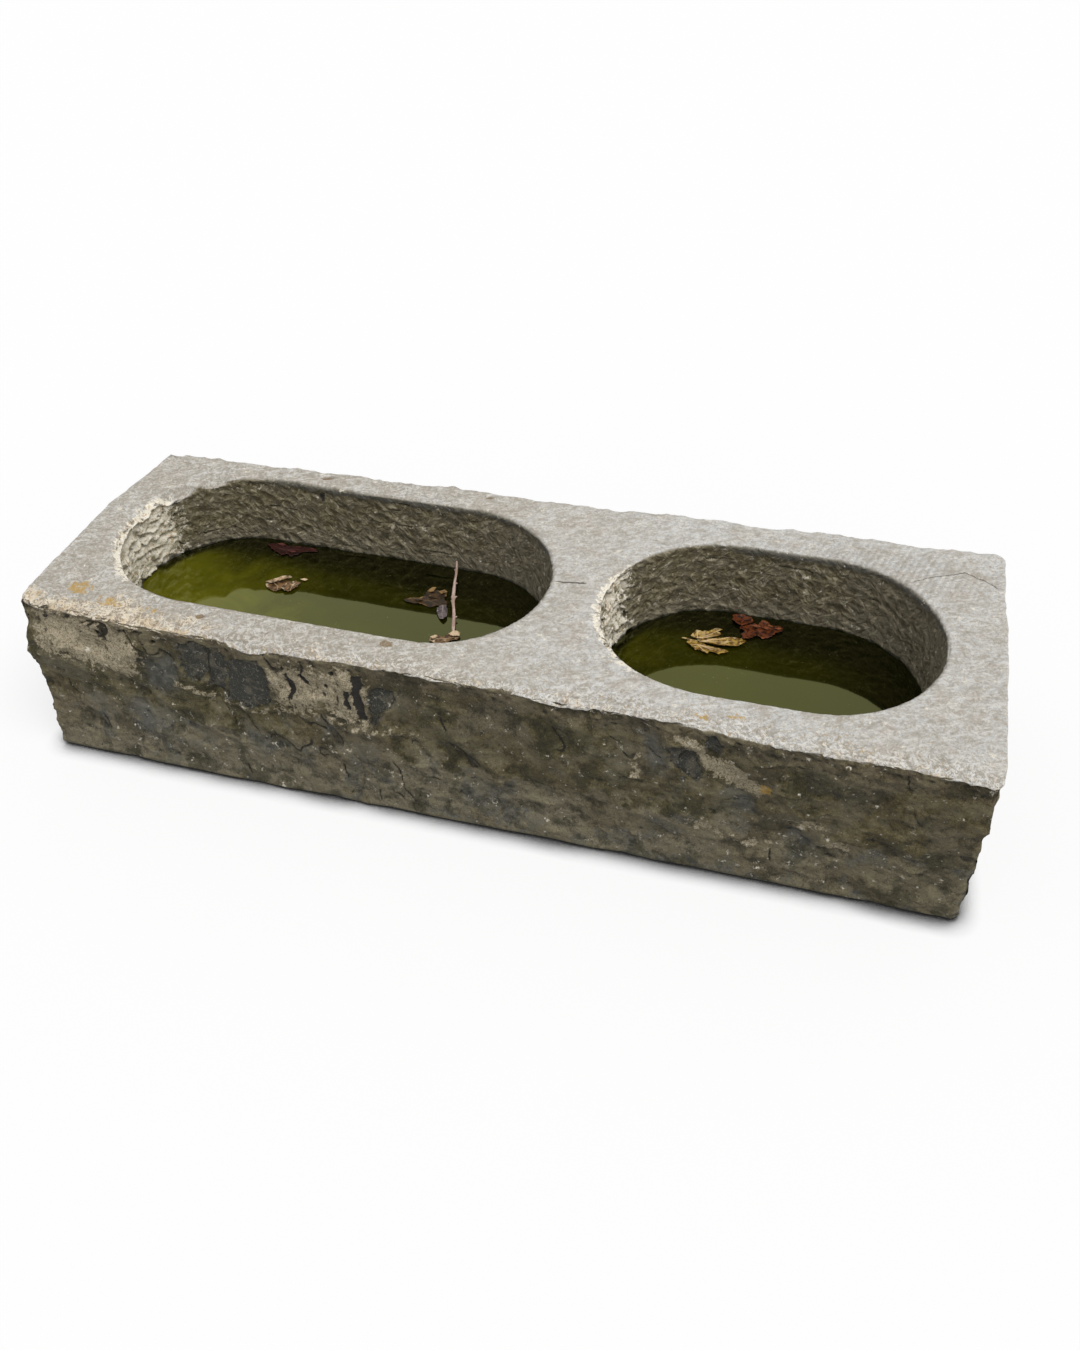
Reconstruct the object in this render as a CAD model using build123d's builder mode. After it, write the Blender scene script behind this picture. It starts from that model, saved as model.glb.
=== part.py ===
from build123d import *
from dataclasses import dataclass
from math import cos, pi, radians, sin
import os

# Water trough: one quarried stone with two stadium-shaped basins, holding water, leaves and a twig.
# Millimetres. The origin is on the ground under the middle of the stone; +X runs along the stone
# towards its wide end, +Y towards its back, +Z up.

# Long basin
long_length = 887.0
long_width = 431.0
long_offset = 4.9
long_turn = -0.47
long_depth = 262.0
long_water_drop = 155.0
long_undercut = 22.0

# Short basin
short_length = 627.0
short_width = 443.0
short_offset = 0.9
short_turn = 0.1
short_depth = 262.0
short_water_drop = 162.0
short_undercut = 8.0

# Walls and floors of both basins
wall_batter = 12.0
floor_batter = 26.0
floor_round = 42.0
rim_wear = 5.0
overrun = 20.0

# Stone left round the basins, and under the long one
narrow_end_wall = 91.3
bridge = 109.2
wide_end_wall = 104.5
narrow_end_rim = 59.5
wide_end_rim = 103.5
floor_thickness = 93.5

# Plan of the stone: the narrow end lies a little forward, askew, and the wide end and front are bowed
narrow_end_shift = 6.9
narrow_end_skew = 33.2
wide_end_bow = 8.5
narrow_end_bow = 14.0
front_bow = 7.0
front_sway = 9.0

# The front's foot stands forward under the narrow end and lies back a little under the wide end
narrow_end_foot = 45.0
wide_end_foot = -10.0

# Edges of the stone
upright_edge_cut = 13.0
ground_edge_cut = 9.0
arris_wear = 5.0

# Hollows that flakes left when the four sides were split and dressed, staggered from row to row
hollow_pitch = 76.0
hollow_depth = 15.0
ridge_depth = 4.0
hollow_drift = 16.0
hollow_turns = (2.3, 2.1, 1.7)
drift_turns = (1.9, 2.6, 1.0)
hollow_level_shares = (0.2, 0.4, 0.8)
ground_hollow_share = 0.6
arris_hollow_share = 0.45

# Bedding ledge round the narrow end, where the stone below lies back
ledge_share = 0.585
ledge_depth = 9.0
ledge_rise = 16.0
ledge_reach = 330.0

# Broken shoulder at the narrow end of the long basin: spalls round its bend, from back to front
spall_radii = (46.0, 62.0, 40.0)
spall_turns = (126.0, 148.0, 171.0)
spall_inward_share = 0.45
spall_lift_share = 0.5

# Chips out of the top arrises, placed along the side as shares
chip_radius = 95.0
chip_depth = 9.0
chip_slant = 45.0
front_chip_shares = (0.055, 0.27, 0.52, 0.83)
back_chip_shares = (0.18, 0.37, 0.71)

# Water and what floats on it
water_clearance = 0.3
float_clearance = 0.3
leaf_thickness = 1.2

# Twig, its foot afloat and its tip against the back wall of the long basin
twig_foot_shares = (0.262, 0.037)
twig_tip_share = 0.203
twig_bow = 7.0
twig_lift = 24.0
twig_foot_radius = 6.2
twig_tip_radius = 2.4
twig_knot = 2.4
twig_knot_shares = (0.2, 0.6)
twig_section_share = 0.1
twig_bud_length = 9.0
twig_bud_radius = 2.2
twig_bud_taper = 4.0
twig_bud_shares = (0.3, 0.45, 0.68)
twig_bud_turns = (-70.0, 80.0, -60.0)

# Leaves: size along and across, the radius that each has curled to, and its heading in degrees. Each
# floats at shares of its basin's length and width from the basin's middle
red_leaf_size = (124.0, 46.0)
red_leaf_curl = 70.0
red_leaf_heading = -20.0
red_leaf_place_shares = (-0.242, 0.378)
curled_leaf_size = (90.0, 58.0)
curled_leaf_curl = 34.0
curled_leaf_heading = 168.0
curled_leaf_place_shares = (-0.184, 0.13)
brown_leaf_size = (98.0, 62.0)
brown_leaf_curl = 60.0
brown_leaf_heading = 8.0
brown_leaf_place_shares = (0.16, 0.215)
tan_leaf_size = (66.0, 38.0)
tan_leaf_curl = 30.0
tan_leaf_heading = 24.0
tan_leaf_place_shares = (0.258, -0.075)
yellow_leaf_size = (134.0, 84.0)
yellow_leaf_curl = 58.0
yellow_leaf_heading = 4.0
yellow_leaf_place_shares = (-0.182, 0.235)
russet_leaf_size = (118.0, 74.0)
russet_leaf_curl = 90.0
russet_leaf_heading = -17.0
russet_leaf_place_shares = (-0.06, 0.372)
husk_size = (46.0, 19.0)
husk_curl = 11.0
husk_heading = -72.0
husk_place_shares = (0.218, 0.118)

# Overall sizes of the stone
length = narrow_end_wall + long_length + bridge + short_length + wide_end_wall
height = long_depth + floor_thickness
narrow_end = long_width + 2 * narrow_end_rim
wide_end = short_width + 2 * wide_end_rim

# Half outlines of the leaves, from the stalk's end to the tip: shares of the length and of half the width
maple_half_shares = (
    (0.0, 0.03),
    (0.2, 0.04),
    (0.18, 0.5),
    (0.26, 0.62),
    (0.34, 0.52),
    (0.42, 0.72),
    (0.56, 1.0),
    (0.62, 0.74),
    (0.6, 0.4),
    (0.72, 0.48),
    (0.84, 0.42),
    (0.86, 0.2),
    (1.0, 0.0),
)
oak_half_shares = (
    (0.0, 0.05),
    (0.14, 0.06),
    (0.24, 0.62),
    (0.36, 0.48),
    (0.5, 1.0),
    (0.62, 0.6),
    (0.76, 0.78),
    (0.88, 0.4),
    (1.0, 0.0),
)
lance_half_shares = (
    (0.0, 0.06),
    (0.1, 0.1),
    (0.3, 0.82),
    (0.55, 1.0),
    (0.8, 0.62),
    (1.0, 0.0),
)


@dataclass(frozen=True)
class Basin:
    """One basin of the stone, and the level of the water that stands in it."""

    length: float
    width: float
    middle: float
    offset: float
    turn: float
    depth: float
    water_drop: float
    undercut: float

    def level(self, drop):
        """The basin's own plane, turned as the basin is, a given drop under the rim."""
        return Plane(
            origin=(self.middle, self.offset, height - drop),
            x_dir=(cos(radians(self.turn)), sin(radians(self.turn)), 0),
            z_dir=(0, 0, 1),
        )

    def spot(self, along, across, above):
        """A point above the water, from lengths along and across the basin."""
        return self.level(self.water_drop).from_local_coords(Vector(along, across, above))


@dataclass(frozen=True)
class Leaf:
    """A fallen leaf: its outline, its size, how it has curled and where it floats."""

    name: str
    basin: Basin
    place_shares: tuple
    heading: float
    size: tuple
    curl: float
    half_shares: tuple
    rounded: bool


long_basin = Basin(
    length=long_length,
    width=long_width,
    middle=-length / 2 + narrow_end_wall + long_length / 2,
    offset=long_offset,
    turn=long_turn,
    depth=long_depth,
    water_drop=long_water_drop,
    undercut=long_undercut,
)
short_basin = Basin(
    length=short_length,
    width=short_width,
    middle=length / 2 - wide_end_wall - short_length / 2,
    offset=short_offset,
    turn=short_turn,
    depth=short_depth,
    water_drop=short_water_drop,
    undercut=short_undercut,
)
leaves = (
    Leaf(
        name="red_leaf",
        basin=long_basin,
        place_shares=red_leaf_place_shares,
        heading=red_leaf_heading,
        size=red_leaf_size,
        curl=red_leaf_curl,
        half_shares=oak_half_shares,
        rounded=True,
    ),
    Leaf(
        name="curled_leaf",
        basin=long_basin,
        place_shares=curled_leaf_place_shares,
        heading=curled_leaf_heading,
        size=curled_leaf_size,
        curl=curled_leaf_curl,
        half_shares=oak_half_shares,
        rounded=True,
    ),
    Leaf(
        name="brown_leaf",
        basin=long_basin,
        place_shares=brown_leaf_place_shares,
        heading=brown_leaf_heading,
        size=brown_leaf_size,
        curl=brown_leaf_curl,
        half_shares=maple_half_shares,
        rounded=False,
    ),
    Leaf(
        name="seed_husk",
        basin=long_basin,
        place_shares=husk_place_shares,
        heading=husk_heading,
        size=husk_size,
        curl=husk_curl,
        half_shares=lance_half_shares,
        rounded=True,
    ),
    Leaf(
        name="tan_leaf",
        basin=long_basin,
        place_shares=tan_leaf_place_shares,
        heading=tan_leaf_heading,
        size=tan_leaf_size,
        curl=tan_leaf_curl,
        half_shares=lance_half_shares,
        rounded=True,
    ),
    Leaf(
        name="yellow_leaf",
        basin=short_basin,
        place_shares=yellow_leaf_place_shares,
        heading=yellow_leaf_heading,
        size=yellow_leaf_size,
        curl=yellow_leaf_curl,
        half_shares=maple_half_shares,
        rounded=False,
    ),
    Leaf(
        name="russet_leaf",
        basin=short_basin,
        place_shares=russet_leaf_place_shares,
        heading=russet_leaf_heading,
        size=russet_leaf_size,
        curl=russet_leaf_curl,
        half_shares=oak_half_shares,
        rounded=True,
    ),
)

# Plan corners of the stone, counter-clockwise from the narrow end's front
plan_corners = (
    (-length / 2, -narrow_end / 2 - narrow_end_shift),
    (length / 2 - wide_end_bow, -wide_end / 2),
    (length / 2 - wide_end_bow, wide_end / 2),
    (-length / 2 + narrow_end_skew, narrow_end / 2 - narrow_end_shift),
)
corner_feet = (narrow_end_foot, wide_end_foot, 0, 0)
side_bows = (front_bow, wide_end_bow, 0, narrow_end_bow)
side_sways = (front_sway, 0, 0, 0)


def corner_at(index, z):
    """One plan corner of the stone at height z: those of the front shift towards the ground."""
    x, y = plan_corners[index % len(plan_corners)]
    return Vector(x, y - corner_feet[index % len(plan_corners)] * (1 - z / height))


def side_frame(side, z):
    """Start, length, direction and outward direction of one side of the plan at height z."""
    start = corner_at(side, z)
    end = corner_at(side + 1, z)
    along = (end - start).normalized()
    return start, (end - start).length, along, Vector(along.Y, -along.X)


def wave(turns, column, level, side):
    """An uneven angle, in radians, that differs at each column, level and side."""
    by_column, by_level, by_side = turns
    return by_column * column + by_level * level + by_side * side


def side_outline(level, z, inset, relief):
    """Plan points of the stone at height z, bowed, and hollowed as level and relief say."""
    points = []
    for side, (bow, sway) in enumerate(zip(side_bows, side_sways)):
        start, run, along, outward = side_frame(side, z)
        columns = max(round(run / hollow_pitch), 2)
        for column in range(columns + 1):
            corner = column in (0, columns)
            depth = relief * (hollow_depth if (column + level) % 2 else ridge_depth)
            hollow = 0 if corner else depth * (2 + sin(wave(hollow_turns, column, level, side))) / 3
            drift = 0 if corner else hollow_drift * cos(wave(drift_turns, column, level, side))
            margin = upright_edge_cut + inset
            s = margin + (run - 2 * margin) * column / columns + drift
            swell = 4 * bow * (s / run) * (1 - s / run) + sway * sin(2 * pi * s / run)
            point = start + along * s + outward * (swell * z / height - hollow - inset)
            nearness = max(1 - (point.X + length / 2) / ledge_reach, 0)
            if z < height * ledge_share:
                point = point - outward * ledge_depth * nearness
            points.append((point.X, point.Y))
    return points


def basin_form(basin, grow):
    """The solid that fills a basin, from its floor to above its rim, grown sideways and down."""
    levels = (
        (0, 0, 0),
        (basin.water_drop, wall_batter, basin.undercut),
        (basin.depth + grow, wall_batter + floor_batter, 0),
    )
    with BuildPart() as form:
        for drop, inset, undercut in levels:
            inward = inset - grow
            with BuildSketch(basin.level(drop)):
                with Locations((-undercut / 2, 0)):
                    SlotOverall(basin.length + undercut - 2 * inward, basin.width - 2 * inward)
        loft(ruled=True)
        fillet(form.faces().sort_by(Axis.Z)[0].edges(), floor_round)
        extrude(form.faces().sort_by(Axis.Z)[-1], amount=overrun)
    return form.part


def water_in(basin, name):
    """The water that stands in a basin, a clearance from its walls and floor."""
    with BuildPart() as water:
        add(basin_form(basin, -water_clearance))
        split(bisect_by=Plane.XY.offset(height - basin.water_drop), keep=Keep.BOTTOM)
    water.part.label = name
    return water.part


def spalls():
    """Radius and centre of each spall that broke the rim at the narrow end of the long basin."""
    bend = long_width / 2
    for radius, turn in zip(spall_radii, spall_turns):
        out = bend - radius * spall_inward_share
        along = bend - long_length / 2 + out * cos(radians(turn))
        lift = long_water_drop + radius * spall_lift_share
        yield radius, long_basin.spot(along, out * sin(radians(turn)), lift)


def chip_centres(side, shares):
    """Centres of the chips along one top arris."""
    start, run, along, outward = side_frame(side, height)
    away = chip_radius - chip_depth
    for share in shares:
        point = start + along * run * share + outward * away * cos(radians(chip_slant))
        yield (point.X, point.Y, height + away * sin(radians(chip_slant)))


def leaf_solid(leaf):
    """A thin curled sheet, cut to the leaf's outline, its lowest line just over the water."""
    along, across = leaf.size
    share_along, share_across = leaf.place_shares
    place = (leaf.basin.length * share_along, leaf.basin.width * share_across)
    middle = leaf.basin.spot(*place, float_clearance)
    heading = Vector(cos(radians(leaf.heading)), sin(radians(leaf.heading)), 0)
    stalk_end = middle - heading * along / 2
    flat = Plane(origin=stalk_end, x_dir=heading, z_dir=(0, 0, 1))
    section = Plane(origin=stalk_end + Vector(0, 0, leaf.curl), x_dir=flat.y_dir, z_dir=heading)
    half = [(along * x, across / 2 * y) for x, y in leaf.half_shares]
    with BuildPart() as sheet:
        with BuildSketch(section):
            Circle(leaf.curl)
            Circle(leaf.curl - leaf_thickness, mode=Mode.SUBTRACT)
        extrude(amount=along)
        with BuildSketch(flat) as outline:
            with BuildLine() as edge:
                if leaf.rounded:
                    Line(half[0], half[1])
                    Spline(*half[1:])
                else:
                    Polyline(*half)
                mirror(about=Plane.XZ)
                Line(half[0], (half[0][0], -half[0][1]))
            make_face()
        extrude(amount=leaf.curl, mode=Mode.INTERSECT)
    sheet.part.label = leaf.name
    return sheet.part


def twig_radius(share):
    """The twig's radius at a share of its length: tapering, and swollen at its knots."""
    swell = max(max(1 - abs(share - knot) / twig_section_share, 0) for knot in twig_knot_shares)
    return twig_foot_radius + (twig_tip_radius - twig_foot_radius) * share + twig_knot * swell


# Stone: height, inset, hollows and how deep they are, at each level of its sides
low_share, middle_share, high_share = hollow_level_shares
ledge = height * ledge_share
side_levels = (
    (0, ground_edge_cut, 1, ground_hollow_share),
    (ground_edge_cut, 0, 1, ground_hollow_share),
    (height * low_share, 0, 2, 1),
    (height * middle_share, 0, 3, 1),
    (ledge - ledge_rise / 2, 0, 4, 1),
    (ledge + ledge_rise / 2, 0, 4, 1),
    (height * high_share, 0, 5, 1),
    (height - arris_wear, 0, 6, arris_hollow_share),
    (height, arris_wear, 6, arris_hollow_share),
)
with BuildPart() as trough_block:
    for z, inset, level, relief in side_levels:
        with BuildSketch(Plane.XY.offset(z)):
            with BuildLine():
                Polyline(*side_outline(level, z, inset, relief), close=True)
            make_face()
    loft(ruled=True)
    add(basin_form(long_basin, 0), mode=Mode.SUBTRACT)
    add(basin_form(short_basin, 0), mode=Mode.SUBTRACT)
    fillet(trough_block.faces().sort_by(Axis.Z)[-1].inner_wires().edges(), rim_wear)
    for radius, centre in spalls():
        with Locations(centre):
            Sphere(radius, mode=Mode.SUBTRACT)
    with Locations(*chip_centres(0, front_chip_shares), *chip_centres(2, back_chip_shares)):
        Sphere(chip_radius, mode=Mode.SUBTRACT)
trough_block.part.label = "trough_block"

# Twig
with BuildLine() as twig_line:
    foot_along, foot_across = (s * size for s, size in zip(twig_foot_shares, (long_length, long_width)))
    tip_along = long_length * twig_tip_share
    tip_across = long_width / 2 - wall_batter - twig_tip_radius - water_clearance
    Spline(
        long_basin.spot(foot_along, foot_across, float_clearance + twig_foot_radius + twig_knot),
        long_basin.spot(
            (foot_along + tip_along) / 2 - twig_bow,
            (foot_across + tip_across) / 2,
            float_clearance + (twig_foot_radius + twig_tip_radius) / 2 + twig_knot + twig_bow / 2,
        ),
        long_basin.spot(tip_along, tip_across, twig_lift),
    )
with BuildPart() as twig:
    section_count = round(1 / twig_section_share)
    for section in range(section_count + 1):
        share = section / section_count
        with BuildSketch(Plane(origin=twig_line.line @ share, z_dir=twig_line.line % share)):
            Circle(twig_radius(share))
    loft(ruled=True)
    for share, turn in zip(twig_bud_shares, twig_bud_turns):
        heading = Axis((0, 0, 0), twig_line.line % share)
        sideways = Vector(0, 0, 1).rotate(heading, turn)
        with BuildSketch(Plane(origin=twig_line.line @ share, z_dir=sideways)):
            Circle(twig_bud_radius)
        extrude(amount=twig_radius(share) + twig_bud_length, taper=twig_bud_taper)
twig.part.label = "twig"

pieces = [trough_block.part, twig.part]
pieces += [water_in(long_basin, "water_long_basin"), water_in(short_basin, "water_short_basin")]
pieces += [leaf_solid(leaf) for leaf in leaves]

os.makedirs("parts", exist_ok=True)
for piece in pieces:
    export_step(piece, f"parts/{piece.label}.step")
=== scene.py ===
"""Stone water trough with two basins of green water, leaves and a twig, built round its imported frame.

Lengths are in millimetres in the classes below and in metres once they reach a mesh.
"""

import functools
import itertools
import logging
import math
from dataclasses import dataclass, field
from enum import Enum

import bmesh
import bpy
import numpy as np
from mathutils import Matrix, Vector

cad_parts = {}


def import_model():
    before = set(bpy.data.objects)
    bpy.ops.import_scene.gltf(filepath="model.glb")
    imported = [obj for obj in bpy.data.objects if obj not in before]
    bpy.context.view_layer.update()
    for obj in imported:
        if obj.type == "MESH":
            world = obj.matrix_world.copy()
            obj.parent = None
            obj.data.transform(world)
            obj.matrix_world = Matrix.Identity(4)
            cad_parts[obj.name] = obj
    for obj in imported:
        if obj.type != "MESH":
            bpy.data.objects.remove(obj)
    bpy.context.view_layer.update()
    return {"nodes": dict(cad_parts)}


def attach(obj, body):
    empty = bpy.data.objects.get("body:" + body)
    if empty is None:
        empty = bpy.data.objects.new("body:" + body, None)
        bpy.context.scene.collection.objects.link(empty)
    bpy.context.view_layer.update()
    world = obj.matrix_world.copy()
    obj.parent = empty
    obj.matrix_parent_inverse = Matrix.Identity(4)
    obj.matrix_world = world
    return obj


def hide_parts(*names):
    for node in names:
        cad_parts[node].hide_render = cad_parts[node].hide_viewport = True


LOG = logging.getLogger("trough")

Array = np.ndarray
Point = tuple[float, float]
Place = tuple[float, float, float]
Colour = tuple[float, float, float]
Face = tuple[int, ...]
Socket = bpy.types.NodeSocket

MILLIMETRE = 0.001


def ease(low: float, high: float, value: Array) -> Array:
    """Rises smoothly from 0 at low to 1 at high."""
    share = np.clip((value - low) / (high - low), 0.0, 1.0)
    return share * share * (3.0 - 2.0 * share)


def near(distance: Array, width: float, soft: float) -> Array:
    """Is 0.5 on a line's border, 1 well within its half width and 0 well outside it."""
    return np.clip(0.5 + (width - np.abs(distance)) / (2.0 * soft), 0.0, 1.0)


def even_out(line: Array, reach: int) -> Array:
    """Averages each value of a line with its neighbours, as many as reach on either side."""
    count = 2 * reach + 1
    return np.convolve(np.pad(line, reach, mode="edge"), np.ones(count) / count, "valid")


def band(start: int, around: int, rings: int) -> list[Face]:
    """Joins rings of vertices by four-sided faces.

    Args:
        start: Number of the first vertex.
        around: Vertices in a ring.
        rings: How many rings there are.

    Returns:
        The faces, ring by ring.
    """
    faces = []
    for ring, step in itertools.product(range(rings - 1), range(around)):
        here, after = start + ring * around, (step + 1) % around
        faces.append((here + step, here + after, here + around + after, here + around + step))
    return faces


@dataclass(frozen=True)
class Grain:
    """Repeatable lattice noise.

    Attributes:
        seed: Which noise it is.
    """

    seed: int

    def dice(self, *cells: Array, roll: int = 0) -> Array:
        """Rolls a number from 0 to 1 for each whole-numbered cell.

        Args:
            *cells: One array of whole numbers an axis.
            roll: Which of the cell's numbers is wanted.

        Returns:
            The numbers, in the shape of the arrays.
        """
        start = (self.seed * 2654435761 + roll * 374761393) % 2**32
        mixed = np.full(cells[0].shape, start, np.uint32)
        for cell in cells:
            mixed ^= cell.astype(np.int64).astype(np.uint32)
            mixed *= np.uint32(0x85EBCA6B)
            mixed ^= mixed >> np.uint32(13)
            mixed *= np.uint32(0xC2B2AE35)
            mixed ^= mixed >> np.uint32(16)
        return mixed / float(2**32)

    def smooth(self, *axes: Array) -> Array:
        """Gives smooth noise with about one swell a unit.

        Args:
            *axes: One array of places an axis.

        Returns:
            Values from -1 to 1.
        """
        floors = [np.floor(axis) for axis in axes]
        shares = [axis - low for axis, low in zip(axes, floors)]
        shares = [share * share * (3.0 - 2.0 * share) for share in shares]
        total = np.zeros(axes[0].shape)
        for corner in itertools.product((0, 1), repeat=len(axes)):
            weight = np.ones(axes[0].shape)
            for step, share in zip(corner, shares):
                weight *= share if step else 1.0 - share
            total += weight * self.dice(*(low + step for low, step in zip(floors, corner)))
        return 2.0 * total - 1.0

    def fractal(self, *axes: Array, size: float, octaves: int = 3, gain: float = 0.5) -> Array:
        """Adds finer and finer smooth noise.

        Args:
            *axes: One array of places an axis.
            size: Length of the coarsest swells.
            octaves: How many noises are added.
            gain: Strength of each one against the one before.

        Returns:
            Values from about -1 to 1.
        """
        total = np.zeros(axes[0].shape)
        strength, whole = 1.0, 0.0
        for octave in range(octaves):
            scale = 2.0**octave / size
            layer = Grain(self.seed + 101 * octave)
            total += strength * layer.smooth(*(axis * scale + 17.3 * octave for axis in axes))
            whole += strength
            strength *= gain
        return total / whole


@dataclass(frozen=True)
class Scoops:
    """Overlapping hollows over a face, as a tool or a broken flake leaves them.

    Attributes:
        cell: Spacing along the face and up it.
        depth: Depth of the deepest.
        reach: Radius of a hollow against its cell.
        lean: How far the rows shift along for each unit up.
        bite: How much deeper a hollow is at its lower end than in its middle.
        tilt: How far each hollow tips its own way.
        seed: Which scatter it is.
    """

    cell: Point
    depth: float
    reach: float = 0.95
    lean: float = 0.0
    bite: float = 0.0
    tilt: float = 0.0
    seed: int = 1

    def carve(self, along: Array, up: Array, around: float = 0.0) -> Array:
        """Gives the depth cut at each place.

        Args:
            along: Places along the face.
            up: Places up the face.
            around: Length after which the scatter repeats, or 0 for none.

        Returns:
            Depths, none below 0.
        """
        dice = Grain(self.seed)
        wide, high = self.cell
        count = 0
        if around:
            count = max(3, round(around / wide))
            wide = around / count
        x = (along + self.lean * up) / wide
        y = up / high
        row, column = np.floor(y), np.floor(x)
        deepest = np.zeros(along.shape)
        for down, right in itertools.product((-1, 0, 1), repeat=2):
            i, j = column + right, row + down
            home = np.mod(i, count) if count else i
            middle_x = i + 0.5 + 0.8 * (dice.dice(home, j, roll=1) - 0.5)
            middle_y = j + 0.5 + 0.8 * (dice.dice(home, j, roll=2) - 0.5)
            radius = self.reach * (0.75 + 0.5 * dice.dice(home, j, roll=3))
            depth = self.depth * (0.35 + 0.65 * dice.dice(home, j, roll=4))
            off_x, off_y = (x - middle_x) / radius, (y - middle_y) / radius
            way = 2.0 * math.pi * dice.dice(home, j, roll=5)
            tip = self.tilt * (off_x * np.cos(way) + off_y * np.sin(way))
            hollow = depth * ((1.0 - off_x**2 - off_y**2) * (1.0 - self.bite * off_y) + tip)
            deepest = np.maximum(deepest, hollow)
        return deepest


@dataclass(frozen=True)
class Stroke:
    """A line drawn on a face, with a width.

    Attributes:
        points: Its corners.
        width: Half its width.
    """

    points: tuple[Point, ...]
    width: float

    def measure(self, u: Array, v: Array) -> tuple[Array, Array]:
        """Measures places against the line.

        Args:
            u: Places across the face.
            v: Places up the face.

        Returns:
            The signed distance from the line, and the share of its length at the nearest point.
        """
        best = np.full(u.shape, np.inf)
        signed, share = np.zeros(u.shape), np.zeros(u.shape)
        lengths = [math.dist(a, b) for a, b in zip(self.points, self.points[1:])]
        whole, before = sum(lengths), 0.0
        for (ax, ay), (bx, by), length in zip(self.points, self.points[1:], lengths):
            dx, dy = (bx - ax) / length, (by - ay) / length
            run = np.clip((u - ax) * dx + (v - ay) * dy, 0.0, length)
            gap = np.hypot(u - ax - run * dx, v - ay - run * dy)
            side = np.where((u - ax) * dy - (v - ay) * dx < 0.0, -1.0, 1.0)
            closer = gap < best
            best = np.where(closer, gap, best)
            signed = np.where(closer, gap * side, signed)
            share = np.where(closer, (before + run) / whole, share)
            before += length
        return signed, share

    def cover(self, u: Array, v: Array, soft: float) -> Array:
        """Gives 0.5 on the stroke's border, 1 inside and 0 outside."""
        return near(self.measure(u, v)[0], self.width, soft)


@dataclass(frozen=True)
class Spot:
    """An oval patch on a face.

    Attributes:
        middle: Its middle.
        half: Its half sizes.
        turn: Its turn in degrees.
    """

    middle: Point
    half: Point
    turn: float = 0.0

    def cover(self, u: Array, v: Array, soft: float) -> Array:
        """Gives 0.5 on the spot's border, 1 inside and 0 outside.

        Args:
            u: Places across the face.
            v: Places up the face.
            soft: Half the width over which it fades.

        Returns:
            The cover.
        """
        angle = math.radians(self.turn)
        du, dv = u - self.middle[0], v - self.middle[1]
        x = (du * math.cos(angle) + dv * math.sin(angle)) / self.half[0]
        y = (dv * math.cos(angle) - du * math.sin(angle)) / self.half[1]
        return near(np.hypot(x, y) * min(self.half), min(self.half), soft)


@dataclass(frozen=True)
class Patch:
    """A patch with a drawn outline.

    Attributes:
        points: Its corners in order.
    """

    points: tuple[Point, ...]

    def cover(self, u: Array, v: Array, soft: float) -> Array:
        """Gives 0.5 on the outline, 1 inside and 0 outside.

        Args:
            u: Places across the face.
            v: Places up the face.
            soft: Half the width over which it fades.

        Returns:
            The cover.
        """
        reached = np.zeros(u.shape)
        low, high = np.min(self.points, 0) - 2.0 * soft, np.max(self.points, 0) + 2.0 * soft
        close = np.nonzero((u > low[0]) & (u < high[0]) & (v > low[1]) & (v < high[1]))[0]
        x, y = u[close], v[close]
        ring = (*self.points, self.points[0])
        gap = np.abs(Stroke(ring, 0.0).measure(x, y)[0])
        within = np.zeros(x.shape, bool)
        for (ax, ay), (bx, by) in zip(ring, ring[1:]):
            if ay != by:
                within ^= ((ay > y) != (by > y)) & (x < (bx - ax) * (y - ay) / (by - ay) + ax)
        reached[close] = np.clip(0.5 + np.where(within, gap, -gap) / (2.0 * soft), 0.0, 1.0)
        return reached


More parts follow.
